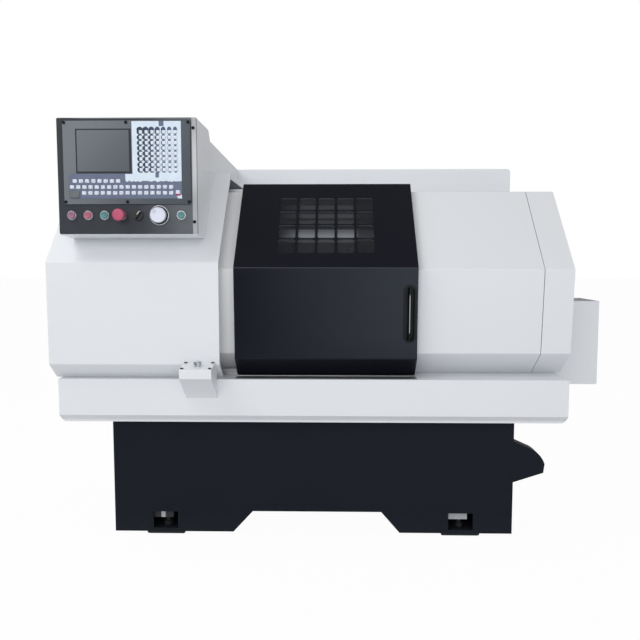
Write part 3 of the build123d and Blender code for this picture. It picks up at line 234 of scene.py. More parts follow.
hard = Finish("hard_steel", Metallic=1.0)
skin = grain(hard, 55.0, 5.0)
hard.set(Base_Color=colour_mix(hard, fade(hard, skin, 0.40, 0.62), (0.16, 0.17, 0.19), (0.44, 0.45, 0.47)))
hard.set(Roughness=0.24 + 0.24 * skin)
relief(hard, grain(hard, 300.0, 2.0, (0.2, 1.0, 1.0)), 0.00008, 0.4)
dress(hard, "chuck_jaw_1", "chuck_jaw_2", "chuck_jaw_3", "cutting_tools", "tailstock_center")


# The two pulleys and the tailstock's handwheel are machined grey iron, keyed to their shafts and
# sealed with a little oil.

iron = Finish("machined_iron", Metallic=0.85)
iron.set(Base_Color=colour_mix(iron, grain(iron, 70.0, 5.0), (0.20, 0.20, 0.21), (0.33, 0.33, 0.34)))
iron.set(Roughness=0.38 + 0.18 * grain(iron, 160.0))
relief(iron, grain(iron, 380.0, 3.0), 0.00012, 0.5)
dress(iron, "spindle_pulley", "motor_pulley", "tailstock_wheel")


# The drive belt is a closed loop of black neoprene over cords, laid round both pulleys. It has fine
# ribs and worn faces.

belt = Finish("belt_rubber", Specular_IOR_Level=0.3)
belt.set(Base_Color=colour_mix(belt, grain(belt, 45.0, 4.0), (0.014, 0.014, 0.015), (0.040, 0.039, 0.038)))
belt.set(Roughness=0.62 + 0.2 * grain(belt, 25.0))
relief(belt, stripes(belt, "X", 90.0), 0.0006, 0.7)
dress(belt, "drive_belt")


# The spindle motor has a finned casting in dark blue-grey machine paint; the two feed motors are
# square and satin black.

motor = Finish("motor_paint", Specular_IOR_Level=0.45)
motor.set(Base_Color=colour_mix(motor, grain(motor, 14.0, 4.0), (0.055, 0.075, 0.105), (0.085, 0.110, 0.145)))
motor.set(Roughness=0.40 + 0.2 * grain(motor, 90.0))
relief(motor, grain(motor, 330.0, 3.0), 0.0004, 0.5)
dress(motor, "spindle_motor")

servo = Finish("servo_black", Specular_IOR_Level=0.4)
servo.set(Base_Color=colour_mix(servo, grain(servo, 20.0, 3.0), (0.012, 0.012, 0.013), (0.028, 0.028, 0.030)))
servo.set(Roughness=0.36 + 0.18 * grain(servo, 70.0))
relief(servo, grain(servo, 500.0, 2.0), 0.0002, 0.4)
dress(servo, "z_motor", "x_motor")


# Saddle and cross slide are ground iron castings, each fitted over the ways below it. Their faces
# are frosted by hand scraping in small crossing patches.

scraped = Finish("scraped_iron", Metallic=1.0)
flakes = scraped.add("ShaderNodeTexVoronoi", {"feature": "F1"},
                     {"Vector": scraped.place, "Scale": 95.0}, out="Color")
tone = scraped.add("ShaderNodeRGBToBW", {}, {"Color": flakes})
scraped.set(Base_Color=colour_mix(scraped, tone, (0.30, 0.30, 0.31), (0.50, 0.50, 0.50)))
scraped.set(Roughness=0.26 + 0.26 * tone)
relief(scraped, tone, 0.0001, 0.35)
dress(scraped, "saddle", "cross_slide")


# The feed screws are rolled steel rods with a thread cut along them: 10 mm of lead on the long one,
# which lies below the bed's ways, and 5 mm on the cross screw, which lies above them.

long_thread, cross_thread = 31.4, 62.8
long_top, cross_bottom = 0.76, 0.80
screw = Finish("screw_steel", Metallic=1.0)
is_cross = fade(screw, axis(screw, "Z"), long_top, cross_bottom)
cut = stripes(screw, "X", long_thread) * (1 - is_cross) + stripes(screw, "Y", cross_thread) * is_cross
screw.set(Base_Color=colour_mix(screw, cut, (0.30, 0.30, 0.31), (0.66, 0.66, 0.67)))
screw.set(Roughness=0.22 + 0.12 * grain(screw, 120.0))
relief(screw, cut, 0.0015, 0.8)
dress(screw, "z_screw", "x_screw")


# The sheet-metal covers, the drip tray, the tank and the rear cabinet are folded from steel sheet
# and powder coated a cool white, which leaves a fine orange peel and slightly uneven gloss.

def powder_coat(name, dark, light):
    """A coat with its peel and gloss, and the wide clouds of its colour."""
    coat = Finish(name, Specular_IOR_Level=0.45)
    clouds = colour_mix(coat, grain(coat, 1.6, 3.0), dark, light)
    coat.set(Base_Color=clouds, Roughness=0.34 + 0.14 * grain(coat, 12.0, 4.0))
    relief(coat, grain(coat, 520.0, 2.0), 0.0002, 0.25)
    return coat, clouds


white, clouds = powder_coat("white_powder_coat", (0.760, 0.782, 0.815), (0.790, 0.808, 0.838))
fleck = fade(white, grain(white, 240.0, 2.0), 0.62, 0.80)
white.set(Base_Color=colour_mix(white, fleck * 0.25, clouds, (0.69, 0.71, 0.74)))
dress(white, "coolant_tank", "drip_tray", "right_cover", "end_cover", "roof_panel", "headstock_cover",
      "control_box", "hood", "button_box", "motor_guard", "rear_cabinet", "cabinet_door")


# The strip beside the door opening and the bulkhead behind it are one folded frame, bolted in under
# the headstock cover. Its coat is painted whiter than the other covers, as painted light against the shade of
# its recess.

lightened_coat = powder_coat("painted_light_powder_coat", (0.880, 0.895, 0.920), (0.910, 0.922, 0.945))[0]
dress(lightened_coat, "left_frame")


# The door runs on drawn steel strips that are screwed to the covers. They are zinc plated, and
# streaked along their length.

zinc = Finish("zinc", Metallic=1.0)
streak = grain(zinc, 60.0, 4.0, (0.15, 1.0, 1.0))
zinc.set(Base_Color=colour_mix(zinc, streak, (0.42, 0.43, 0.45), (0.62, 0.62, 0.63)))
zinc.set(Roughness=0.30 + 0.25 * grain(zinc, 180.0, 3.0))
relief(zinc, streak, 0.0001, 0.3)
dress(zinc, "door_rails")


# The sliding door is folded steel in a smooth, near-black gloss enamel. A pale highlight is painted on
# the cut edges of its twenty openings.

bend_y, bend_z = -0.4730, 0.9615
slope_back, slope_up = 0.6985, 0.7156


def slope_depth(finish):
    """Distance up the door's slope from its lower bend, and depth below its outer face: the
    offset from the bend, turned by the slope's angle."""
    back = axis(finish, "Y") - bend_y
    rise = axis(finish, "Z") - bend_z
    return slope_back * back + slope_up * rise, slope_up * back - slope_back * rise


edge_near, edge_far = 0.0005, 0.0029
grille_low, grille_high = 0.060, 0.346
gloss = Finish("door_enamel", Specular_IOR_Level=0.32, Coat_Roughness=0.06)
shade = grain(gloss, 2.2, 2.0)
up_slope, under = slope_depth(gloss)
# Painted highlight: a pale grey band on the cut edges of the openings.
cut_edge_highlight = (band(gloss, under, edge_near, edge_far, 0.0002)
            * band(gloss, up_slope, grille_low, grille_high, 0.002))
lacquer = colour_mix(gloss, shade, (0.0042, 0.0052, 0.0104), (0.0056, 0.0068, 0.0124))
gloss.set(Base_Color=colour_mix(gloss, cut_edge_highlight, lacquer, (0.150, 0.160, 0.176)))
gloss.set(Roughness=0.16 + 0.10 * grain(gloss, 7.0, 4.0), Coat_Weight=0.12 + 0.10 * shade)
relief(gloss, grain(gloss, 300.0, 2.0), 0.00006, 0.2)
dress(gloss, "door_shell")


# Behind the door's openings lies one tinted safety pane. Dried coolant hazes it. The light of the lit
# machine behind it is painted onto the pane as soft level bands, mostly in its three middle columns.

lit_bands = ((0.286, 0.306, 0.004, 0.13), (0.241, 0.262, 0.003, 0.17),
             (0.211, 0.228, 0.003, 0.13), (0.1195, 0.131, 0.003, 0.24))
lamp_low, lamp_high = 0.142, 0.183
left_column, lit_left, lit_right, right_column = -0.215, -0.110, 0.066, 0.074
pane = Finish("tinted_pane", Specular_IOR_Level=0.45, IOR=1.49)
haze = grain(pane, 18.0, 5.0)
up_slope = slope_depth(pane)[0]
across = axis(pane, "X")
# Painted light: pale bands of the lit machine, in the pane's colour and opacity.
painted_interior_light = (band(pane, up_slope, lamp_low, lamp_high, 0.003)
        * (0.86 - 0.46 * fade(pane, up_slope, lamp_low + 0.003, lamp_high - 0.001)))
for low, high, soft, strength in lit_bands:
    painted_interior_light = painted_interior_light + strength * band(pane, up_slope, low, high, soft)
painted_interior_light = (painted_interior_light * fade(pane, across, left_column, lit_left)
        * (1 - 0.82 * fade(pane, across, lit_right, right_column)))
painted_interior_light = painted_interior_light + 0.05 * band(pane, across, -0.130, lit_right, 0.01)
tint = colour_mix(pane, haze, (0.012, 0.014, 0.018), (0.026, 0.029, 0.034))
pane.set(Base_Color=colour_mix(pane, painted_interior_light, tint, (0.230, 0.245, 0.265)))
pane.set(Roughness=0.06 + 0.12 * haze, Alpha=0.50 + 0.14 * haze + 0.36 * painted_interior_light)
dress(pane, "door_window")


# The door's pull is a moulded black pocket with a polished upright bar, on which one bright line is
# painted as a highlight. The rear cabinet's latch is moulded from the same black compound.

def moulding(name, gloss_level):
    """A black moulded part with a slightly mottled sheen, and its mottled colour."""
    coat = Finish(name, Specular_IOR_Level=gloss_level)
    black = colour_mix(coat, grain(coat, 30.0, 3.0), (0.004, 0.004, 0.005), (0.010, 0.010, 0.011))
    coat.set(Base_Color=black, Roughness=0.16 + 0.16 * grain(coat, 24.0, 3.0))
    relief(coat, grain(coat, 700.0, 2.0), 0.00008, 0.3)
    return coat, black


line_left, line_right = 0.2405, 0.2430
line_bottom, line_top = 0.742, 0.868
pull, black = moulding("pull_moulding", 0.22)
# Painted highlight: one pale line down the middle of the bar.
painted_bar_highlight = (band(pull, axis(pull, "X"), line_left, line_right, 0.0006)
               * band(pull, axis(pull, "Z"), line_bottom, line_top, 0.006))
pull.set(Base_Color=colour_mix(pull, painted_bar_highlight, black, (0.42, 0.43, 0.45)))
dress(pull, "door_handle")

dress(moulding("latch_moulding", 0.45)[0], "cabinet_latch")


# The door's glides are blocks of black nylon, slotted for the rails and screwed to the inside of
# the folded shell.

nylon = Finish("nylon", Specular_IOR_Level=0.35)
nylon.set(Base_Color=colour_mix(nylon, grain(nylon, 50.0, 3.0), (0.012, 0.012, 0.013), (0.028, 0.028, 0.030)))
nylon.set(Roughness=0.45 + 0.2 * grain(nylon, 140.0))
dress(nylon, "door_glides")


# The control panel is 3 mm sheet in dark blue-grey fine-grain enamel. Light is painted on it: lighter
# towards the right, a highlight along its top edge, and a bright reflection down its right border, brightest
# at mid height.

panel_low, panel_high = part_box("control_panel")
panel_front = panel_low.y
reflection_left, reflection_right = panel_high.x - 0.0160, panel_high.x - 0.0016
bright_low, bright_high = panel_low.z + 0.15, panel_high.z - 0.05
rim_low, rim_high = panel_high.z - 0.0040, panel_high.z - 0.0022
rim_start, rim_full = panel_low.x + 0.03, panel_low.x + 0.10
panel = Finish("panel_enamel", Specular_IOR_Level=0.30)
across, level = axis(panel, "X"), axis(panel, "Z")
# Painted light: the enamel is painted lighter towards the right.
rightward = fade(panel, across, panel_low.x + 0.22, panel_high.x - 0.02)
paint = colour_mix(panel, rightward, (0.037, 0.043, 0.053), (0.120, 0.132, 0.148))
cloudy = fade(panel, grain(panel, 9.0, 5.0), 0.35, 0.75)
paint = colour_mix(panel, cloudy * 0.30, paint, (0.022, 0.025, 0.030))
# Painted reflection: a bright band down the right border, brightest at mid height.
mid_height = band(panel, level, bright_low, bright_high, 0.06)
reflection_band = band(panel, across, reflection_left, reflection_right, 0.0015)
painted_reflection = reflection_band * (0.62 + 0.38 * mid_height) * (0.80 + 0.20 * grain(panel, 50.0, 4.0, (1.0, 1.0, 0.2)))
# Painted highlight: a pale line along the top edge.
rim = fade(panel, level, rim_low, rim_high) * fade(panel, across, rim_start, rim_full)
paint = colour_mix(panel, rim * 0.55, paint, (0.32, 0.33, 0.35))
panel.set(Base_Color=colour_mix(panel, painted_reflection, paint, (0.62, 0.63, 0.66)))
panel.set(Roughness=0.36 + 0.16 * grain(panel, 40.0, 3.0))
relief(panel, grain(panel, 650.0, 3.0), 0.00018, 0.5)
dress(panel, "control_panel")


# The controller's face is a moulded grey frame with bevelled edges, held in the panel by its
# screws. Light is painted on it, lightest at its upper left, and a dark shadow line is painted on its bevels.

face_low, face_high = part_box("controller")
light_lean = 0.55
bevel_start, bevel_end = 0.0002, 0.0008
face = Finish("controller_face", Specular_IOR_Level=0.35)
# Painted light: lighter towards the upper left.
painted_light_sweep = fade(face, axis(face, "X") - light_lean * axis(face, "Z"),
             face_low.x - light_lean * face_high.z, face_high.x - light_lean * face_low.z)
grey = colour_mix(face, painted_light_sweep, (0.195, 0.215, 0.242), (0.066, 0.078, 0.094))
grey = colour_mix(face, 0.25 * grain(face, 7.0, 4.0), grey, (0.045, 0.050, 0.058))
# Painted shadow: the bevels just behind the front are painted dark.
bevel_shadow = fade(face, axis(face, "Y"), face_low.y + bevel_start, face_low.y + bevel_end)
face.set(Base_Color=colour_mix(face, bevel_shadow, grey, (0.014, 0.015, 0.018)))
face.set(Roughness=0.40 + 0.15 * grain(face, 55.0, 3.0))
relief(face, grain(face, 900.0, 2.0), 0.00008, 0.3)
dress(face, "controller")


# The display is off: a matte anti-glare film over dark grey glass, with a painted reflection that is
# lightest at its upper left, and a dark printed border that is wider to the right and below.

screen_low, screen_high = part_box("screen")
border_left, border_right, border_below, border_above = 0.0035, 0.0075, 0.0060, 0.0035
display = Finish("display_film", Specular_IOR_Level=0.30)
across, level = axis(display, "X"), axis(display, "Z")
glass = (band(display, across, screen_low.x + border_left, screen_high.x - border_right, 0.0006)
         * band(display, level, screen_low.z + border_below, screen_high.z - border_above, 0.0006))
# Painted reflection: lighter towards the upper left.
reflection_fall = fade(display, across - level, screen_low.x - screen_high.z, screen_high.x - screen_low.z)
lit = colour_mix(display, reflection_fall, (0.160, 0.176, 0.197), (0.098, 0.112, 0.130))
display.set(Base_Color=colour_mix(display, glass, (0.026, 0.032, 0.041), lit))
display.set(Roughness=0.46 + 0.10 * grain(display, 500.0))
relief(display, grain(display, 2200.0, 1.0), 0.00003, 0.3)
dress(display, "screen")


# The keypad is one printed membrane in lavender, with two lavender tabs. An icy white reflection is
# painted over its right side, with a painted glint at its lower right. Round the block of keys beside
# the display, dark navy shadows are painted, in rounds that shrink to thin crescents towards the right.

block_left, block_right, block_top = -0.6255, -0.5146, 1.3900
upper_pitch, lower_top, lower_pitch = 0.0168, 1.2876, 0.0157
block_columns = np.linspace(block_left, block_right, 7)
upper_rows = [block_top - upper_pitch * row for row in range(6)]
lower_rows = [lower_top, lower_top - lower_pitch]

ice_left, ice_bottom = -0.6765, 1.24375
glint_rise, glint_line, glint_top = 0.8, 0.4470, 1.1930
upper_tab_x, upper_tab_bottom = (-0.5665, -0.5510), 1.4080
lower_tab_x, lower_tab_z = (-0.5800, -0.5685), (1.2475, 1.2640)
film = Finish("keypad_film", Specular_IOR_Level=0.35)
across, level = axis(film, "X"), axis(film, "Z")
ragged = 0.016 * grain(film, 90.0, 4.0)
# Painted reflection: icy white over the right side, and a glint at the lower right corner.
icy_reflection = past(film, across, ice_left, 0.001) * past(film, level + ragged, ice_bottom, 0.00075)
corner_glint = (past(film, across + glint_rise * level + ragged, glint_line, 0.001)
                * (1 - past(film, level, glint_top, 0.001)))
upper_tab = band(film, across, *upper_tab_x, 0.0006) * past(film, level, upper_tab_bottom, 0.0005)
lower_tab = band(film, across, *lower_tab_x, 0.0006) * band(film, level, *lower_tab_z, 0.0006)
lavender = colour_mix(film, grain(film, 60.0, 3.0), (0.105, 0.128, 0.205), (0.165, 0.195, 0.290))
reflection_colour = colour_mix(film, grain(film, 30.0, 3.0), (0.580, 0.690, 0.815), (0.760, 0.860, 0.945))
print_and_reflection = colour_mix(film, (icy_reflection + corner_glint) * (1 - (upper_tab + lower_tab)), lavender, reflection_colour)


def to_nearest(finish, value, half_pitch):
    """Distance to the nearest multiple of twice the half pitch: a triangle wave."""
    return finish.add("ShaderNodeMath", {"operation": "PINGPONG"}, {0: value, 1: half_pitch})


half_column = (block_columns[1] - block_columns[0]) / 2
round_width, round_shrink, round_height = 0.0100, 0.0034, 0.0088
left_reach, right_reach, row_reach = 0.0115, 0.0085, 0.0090
# Painted shadow: navy rounds round the keys of the block, darker at the left.
inward = fade(film, across, block_left, block_right)
in_columns = band(film, across, block_left - left_reach, block_right + right_reach, 0.0004)
beside = to_nearest(film, across + 0.0018 * (1 - inward) - block_left, half_column)
painted_key_shadows = 0.0
first_print = block_top + 0.0075
for top, bottom, pitch in ((first_print, first_print, upper_pitch),
                           (upper_rows[0], upper_rows[-1], upper_pitch),
                           (lower_rows[0], lower_rows[-1], lower_pitch)):
    above = to_nearest(film, level - top, pitch / 2)
    reach = ((beside / (round_width - round_shrink * inward)) ** 2 + (above / round_height) ** 2) ** 0.5
    in_rows = band(film, level, bottom - row_reach, top + row_reach, 0.0003)
    painted_key_shadows = painted_key_shadows + (1 - fade(film, reach, 0.94, 1.04)) * in_columns * in_rows
shadow_navy = colour_mix(film, inward, (0.028, 0.045, 0.085), (0.075, 0.110, 0.190))
film.set(Base_Color=colour_mix(film, painted_key_shadows, print_and_reflection, shadow_navy))
film.set(Roughness=0.38 + 0.12 * grain(film, 80.0))
relief(film, grain(film, 900.0, 2.0), 0.00004, 0.3)
dress(film, "keypad")


# The keys are low domed caps pressed up from the membrane: a block beside the display, three long
# rows below it, and one red and white key at the corner. Each is a crowned cushion.

def cushion(centre, width, height, rise, power=4.0, steps=9):
    """Points of a crowned rounded rectangle: a square grid on [-1, 1], squeezed to a superellipse,
    with rise * (1 - max(|u|, |v|) ** power) towards the operator."""
    u, v = np.meshgrid(np.linspace(-1, 1, steps), np.linspace(-1, 1, steps), indexing="ij")
    squeeze = np.sqrt(1 - 0.16 * u ** 2 * v ** 2)
    lift = 1 - np.maximum(abs(u), abs(v)) ** power
    return np.stack([centre[0] + width / 2 * u * squeeze, centre[1] - rise * lift,
                     centre[2] + height / 2 * v * squeeze], axis=-1)


def cells(index):
    """The corners of every cell of a grid of point numbers, as a list of quads."""
    quads = np.stack([index[:-1, :-1], index[1:, :-1], index[1:, 1:], index[:-1, 1:]], axis=-1)
    return quads.reshape(-1, 4).tolist()


def skins(name, grids):
    """One piece of several point grids; each grid's quads join its neighbouring points, and its rim
    is closed by one flat face behind it."""
    verts, faces, start = [], [], 0
    for grid in grids:
        rows, columns = grid.shape[:2]
        index = start + np.arange(rows * columns).reshape(rows, columns)
        rim = np.concatenate([index[0, :-1], index[:-1, -1], index[-1, :0:-1], index[:0:-1, 0]])
        verts.append(grid.reshape(-1, 3))
        faces += cells(index) + [rim.tolist()]
        start += rows * columns
    return piece_of(name, np.concatenate(verts), faces)


def piece_of(name, verts, faces):
    """Joins doubled points, turns the faces outwards, smooths them and puts the piece in the scene."""
    mesh = bpy.data.meshes.new(name)
    mesh.from_pydata(verts.tolist(), [], faces)
    form = bmesh.new()
    form.from_mesh(mesh)
    bmesh.ops.remove_doubles(form, verts=form.verts, dist=1e-6)
    bmesh.ops.recalc_face_normals(form, faces=form.faces)
    form.to_mesh(mesh)
    form.free()
    mesh.shade_smooth()
    piece = bpy.data.objects.new(name, mesh)
    bpy.context.scene.collection.objects.link(piece)
    return piece


def wear(piece, finish, body):
    """Finish, material slot and body of a new piece."""
    piece.data.materials.append(finish.material)
    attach(piece, body)


cap_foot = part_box("keys")[0].y + 0.0010
cap_rise = 0.0012
block_width, block_height = 0.0125, 0.0113
row_width, row_height = 0.0150, 0.0127
long_rows = ((8, -0.8393, -0.6997, 1.2369), (17, -0.8483, -0.5301, 1.2179), (15, -0.8098, -0.5305, 1.1993))
corner_x, corner_z, corner_height = -0.5085, 1.1990, 0.0185
caps = [cushion((column, cap_foot, row), block_width, block_height, cap_rise)
        for row in upper_rows + lower_rows for column in block_columns]
for count, first, last, row in long_rows:
    caps += [cushion((column, cap_foot, row), row_width, row_height, cap_rise)
             for column in np.linspace(first, last, count)]
caps.append(cushion((corner_x, cap_foot, corner_z), row_width, corner_height, cap_rise))
keys = skins("key_caps", caps)

block_edge, block_floor = -0.6390, 1.2590
shade_left, shade_right = -0.600, -0.520
red_left, red_top = -0.51725, 1.1963
key_coat = Finish("key_caps", Specular_IOR_Level=0.4)
across, level = axis(key_coat, "X"), axis(key_coat, "Z")
normal = key_coat.add("ShaderNodeTexCoord", out="Normal")
leftward = 0 - key_coat.add("ShaderNodeSeparateXYZ", {}, {"Vector": normal}, out=0)
in_block = past(key_coat, across, block_edge, 0.001) * past(key_coat, level, block_floor, 0.001)
# Painted shadow: the caps' left flanks in the block beside the display are painted navy, less so towards the
# right.
shadow = (fade(key_coat, leftward, 0.10, 0.34) * in_block
          * (1 - 0.85 * fade(key_coat, across, shade_left, shade_right)))
glare = grain(key_coat, 130.0, 3.0)
ivory = colour_mix(key_coat, glare, (0.62, 0.69, 0.84), (0.86, 0.90, 0.97))
symbol = fade(key_coat, grain(key_coat, 420.0, 2.0), 0.50, 0.60) * (1 - in_block)
ivory = colour_mix(key_coat, symbol * 0.55, ivory, (0.20, 0.24, 0.36))
red = past(key_coat, across, red_left, 0.00025) * (1 - past(key_coat, level, red_top, 0.0003))
ivory = colour_mix(key_coat, red, ivory, (0.42, 0.055, 0.110))
key_coat.set(Base_Color=colour_mix(key_coat, shadow, ivory, (0.035, 0.055, 0.105)))
key_coat.set(Roughness=0.30 + 0.12 * glare)
wear(keys, key_coat, "frame")
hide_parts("keys")


# A dark soft rubber flap covers the data socket at the keypad's lower left. It is pushed into the
# socket's frame by its edge.

flap_middle = (-0.8400, cap_foot + 0.0002, 1.1945)
flap_width, flap_height, flap_rise = 0.0350, 0.0240, 0.0020
flap = skins("data_flap", [cushion(flap_middle, flap_width, flap_height, flap_rise, power=8.0, steps=13)])
rubber = Finish("soft_rubber", Specular_IOR_Level=0.3)
dull = colour_mix(rubber, grain(rubber, 120.0, 3.0), (0.120, 0.128, 0.142), (0.180, 0.190, 0.208))
rubber.set(Base_Color=dull, Roughness=0.55 + 0.15 * grain(rubber, 300.0))
relief(rubber, grain(rubber, 1200.0, 2.0), 0.00006, 0.5)
wear(flap, rubber, "frame")


# Every control stands in a turned, satin nickel ring with its threaded tube behind the panel. The
# dial's wider ring is divided into a hundred fine engraved lines.

def middle(node):
    """Middle of a CAD node's box, along X and Z."""
    low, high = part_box(node)
    return (low.x + high.x) / 2, (low.z + high.z) / 2


dial_x, dial_z = middle("handwheel")
divisions = 100
scale_in, scale_out, line_in, line_out = 0.0200, 0.0290, 0.0264, 0.0284
nickel = Finish("satin_nickel", Metallic=1.0)
right, up = axis(nickel, "X") - dial_x, axis(nickel, "Z") - dial_z
turn = nickel.add("ShaderNodeMath", {"operation": "ARCTAN2"}, {0: up, 1: right}) * (divisions / math.tau)
reach = (right ** 2 + up ** 2) ** 0.5
ticks = 1 - fade(nickel, to_nearest(nickel, turn, 0.5), 0.06, 0.12)
line = ticks * band(nickel, reach, line_in, line_out, 0.0002)
scale = band(nickel, reach, scale_in, scale_out, 0.0003) * (1 - line)
spun = grain(nickel, 350.0, 2.0)
metal = colour_mix(nickel, spun, (0.52, 0.53, 0.56), (0.72, 0.73, 0.76))
nickel.set(Base_Color=colour_mix(nickel, scale, metal, (0.018, 0.019, 0.022)))
nickel.set(Roughness=0.22 + 0.14 * spun)
relief(nickel, scale, 0.0002, 0.5)
dress(nickel, "button_bezels", "box_button")


# The push buttons are coloured moulded caps with a low rim and a dished middle, spun here as
# closed surfaces; each one rides its own spring.

def wrapped(name, right, depth, up, x, z):
    """A piece from the offsets of its points to the right of and above (x, z), on a grid whose
    borders meet along a seam and at two poles."""
    grid = np.stack([x + right, depth, z + up], axis=-1)
    index = np.arange(right.size).reshape(right.shape)
    return piece_of(name, grid.reshape(-1, 3), cells(index))


def spun_form(name, profile, x, z, segments=64):
    """A profile of (radius, y) carried round an axis parallel to Y at (x, z), with both of its ends
    on that axis."""
    radius, depth = np.array(profile).T
    angle = np.linspace(0, math.tau, segments + 1)
    return wrapped(name, np.outer(radius, np.cos(angle)), np.outer(depth, np.ones_like(angle)),
                   np.outer(radius, np.sin(angle)), x, z)


def cap_coat(name, dark, light):
    """Coloured moulding compound with a slightly mottled gloss."""
    coat = Finish(name, Specular_IOR_Level=0.5)
    mottle = grain(coat, 160.0, 3.0)
    coat.set(Base_Color=colour_mix(coat, mottle, dark, light), Roughness=0.28 + 0.14 * mottle)
    return coat


cap_front, cap_back, stem_end = panel_front - 0.0110, panel_front - 0.0045, panel_front + 0.028
cap_radius, stem_radius = 0.0115, 0.0080
button_profile = [(0, cap_front + 0.0012), (0.0060, cap_front + 0.0010), (0.0092, cap_front + 0.0003),
                  (0.0101, cap_front), (0.0110, cap_front + 0.0004), (cap_radius, cap_front + 0.0014),
                  (cap_radius, cap_back), (stem_radius, cap_back), (stem_radius, stem_end), (0, stem_end)]
teal = ((0.060, 0.195, 0.200), (0.105, 0.290, 0.300))
buttons = {"off_button": ((0.250, 0.095, 0.175), (0.400, 0.195, 0.290), "pink_cap"),
           "stop_button": ((0.370, 0.070, 0.135), (0.520, 0.150, 0.240), "red_cap"),
           "start_button": (*teal, "green_cap"),
           "light_button": (*teal, "green_cap")}
for node, (dark, light, slot) in buttons.items():
    cap = spun_form(node + "_cap", button_profile, *middle(node))
    wear(cap, cap_coat(node + "_coat", dark, light), node)
    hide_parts(node)


# The emergency stop is a broad crimson mushroom with a rolled edge and a soft crown, moulded on a
# stem that runs through its ring.

head_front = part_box("emergency_stop")[0].y
flat_radius, roll = 0.0135, 0.0055
head_radius, taper_radius, neck_radius = flat_radius + roll, 0.0184, 0.0130
rim_back, taper_back = head_front + 0.0150, head_front + 0.0190
neck, head_end = panel_front - 0.0130, panel_front + 0.026
crown = [(flat_radius + roll * math.sin(angle), head_front + roll * (1 - math.cos(angle)))
         for angle in np.linspace(0, math.pi / 2, 9)]
mushroom = [(0, head_front), *crown, (head_radius, rim_back), (taper_radius, taper_back),
            (neck_radius, neck), (stem_radius, neck), (stem_radius, head_end), (0, head_end)]
stop_head = spun_form("emergency_head", mushroom, *middle("emergency_stop"), 96)
crimson = cap_coat("crimson", (0.440, 0.062, 0.135), (0.560, 0.100, 0.190))
wear(stop_head, crimson, "emergency_stop")
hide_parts("emergency_stop")


# The mode selector is a black moulded knob with a raised grip, set to the right of upright. A white
# highlight line is painted along it.

mode_x, mode_z = middle("mode_switch")
lean = math.radians(38.0)
highlight_half, highlight_start = 0.0009, 0.0022
selector = Finish("selector_black", Specular_IOR_Level=0.45)
right, up = axis(selector, "X") - mode_x, axis(selector, "Z") - mode_z
beside = right * math.cos(lean) - up * math.sin(lean)
ahead = right * math.sin(lean) + up * math.cos(lean)
# Painted highlight: a white line from the middle towards the upper right.
highlight_line = (band(selector, beside, -highlight_half, highlight_half, 0.0002)
           * past(selector, ahead, highlight_start, 0.0002))
black = colour_mix(selector, grain(selector, 90.0, 3.0), (0.008, 0.008, 0.009), (0.020, 0.020, 0.022))
selector.set(Base_Color=colour_mix(selector, highlight_line, black, (0.80, 0.80, 0.82)))
selector.set(Roughness=0.18 + 0.14 * grain(selector, 130.0))
dress(selector, "mode_switch")


# The jog dial is a pale moulded wheel with a fluted rim, a dished face and a finger hollow. Its stem
# turns freely in the divided ring.

dial_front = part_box("handwheel")[0].y
face_radius, face_dish = 0.0225, 0.0008
hollow_out, hollow_radius, hollow_depth = 0.0110, 0.0058, 0.0050
flute_count, flute_rise, dial_depth = 60, 0.008, 0.019
rim_radius, rim_depth = np.array([(0.0236, 0.0006), (0.0243, 0.0017), (0.0246, 0.0035),
                                  (0.0246, 0.0150), (0.0240, 0.0190)]).T


def dial_points():
    """Radius, angle and depth of the dial's skin, on a grid of turns by places along its profile:
    the face with its dish and hollow, the rim with 1 + rise * cos(count * angle), and the stem.
    The hollow sinks by depth * (1 - (distance / radius) ** 2) ** 0.45."""
    turns, outward = np.meshgrid(np.linspace(0, math.tau, 121), np.linspace(0, 1, 33), indexing="ij")
    face = face_radius * outward
    away = np.hypot(face * np.cos(turns) + hollow_out, face * np.sin(turns) - hollow_out)
    sink = (hollow_depth * np.clip(1 - (away / hollow_radius) ** 2, 0, 1) ** 0.45
            + face_dish * (1 - outward ** 4))
    angle = turns[:, :1]
    flutes = (1 + flute_rise * np.cos(flute_count * angle)) / (1 + flute_rise)
    plain = np.ones_like(angle)
    radius = np.hstack([face, rim_radius * flutes, stem_radius * plain, stem_radius * plain, 0 * plain])
    depth = np.hstack([dial_front + sink, (dial_front + rim_depth) * plain, (dial_front + dial_depth) * plain,
                       stem_end * plain, stem_end * plain])
    return radius, angle, depth


radius, angle, depth = dial_points()
dial = wrapped("jog_dial", radius * np.cos(angle), depth, radius * np.sin(angle), dial_x, dial_z)
wear(dial, cap_coat("dial_moulding", (0.64, 0.68, 0.82), (0.78, 0.80, 0.90)), "handwheel")
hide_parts("handwheel")


# Small socket screws hold the panel and the controller's face. They are blackened steel, a little
# brighter and more metallic in random patches.

black_oxide = Finish("black_oxide", Specular_IOR_Level=0.25)
oxide = grain(black_oxide, 260.0, 3.0)
black_oxide.set(Base_Color=colour_mix(black_oxide, oxide, (0.004, 0.004, 0.005), (0.014, 0.014, 0.016)))
black_oxide.set(Roughness=0.40 + 0.2 * grain(black_oxide, 400.0), Metallic=0.25 * oxide)
dress(black_oxide, "panel_screws")


# The drives and switches in the rear cabinet are grey moulded cases, screwed to a plated steel
# plate at the front of the cabinet.

plate_front = 0.4386
case = Finish("drive_case", Specular_IOR_Level=0.4)
plate = 1 - past(case, axis(case, "Y"), plate_front, 0.0002)
moulded = colour_mix(case, grain(case, 6.0, 2.0), (0.30, 0.31, 0.31), (0.42, 0.43, 0.43))
case.set(Base_Color=colour_mix(case, plate, moulded, (0.52, 0.53, 0.55)))
case.set(Metallic=plate, Roughness=0.44 + 0.16 * grain(case, 120.0, 3.0))
relief(case, grain(case, 600.0, 2.0), 0.0001, 0.4)
dress(case, "servo_drives")


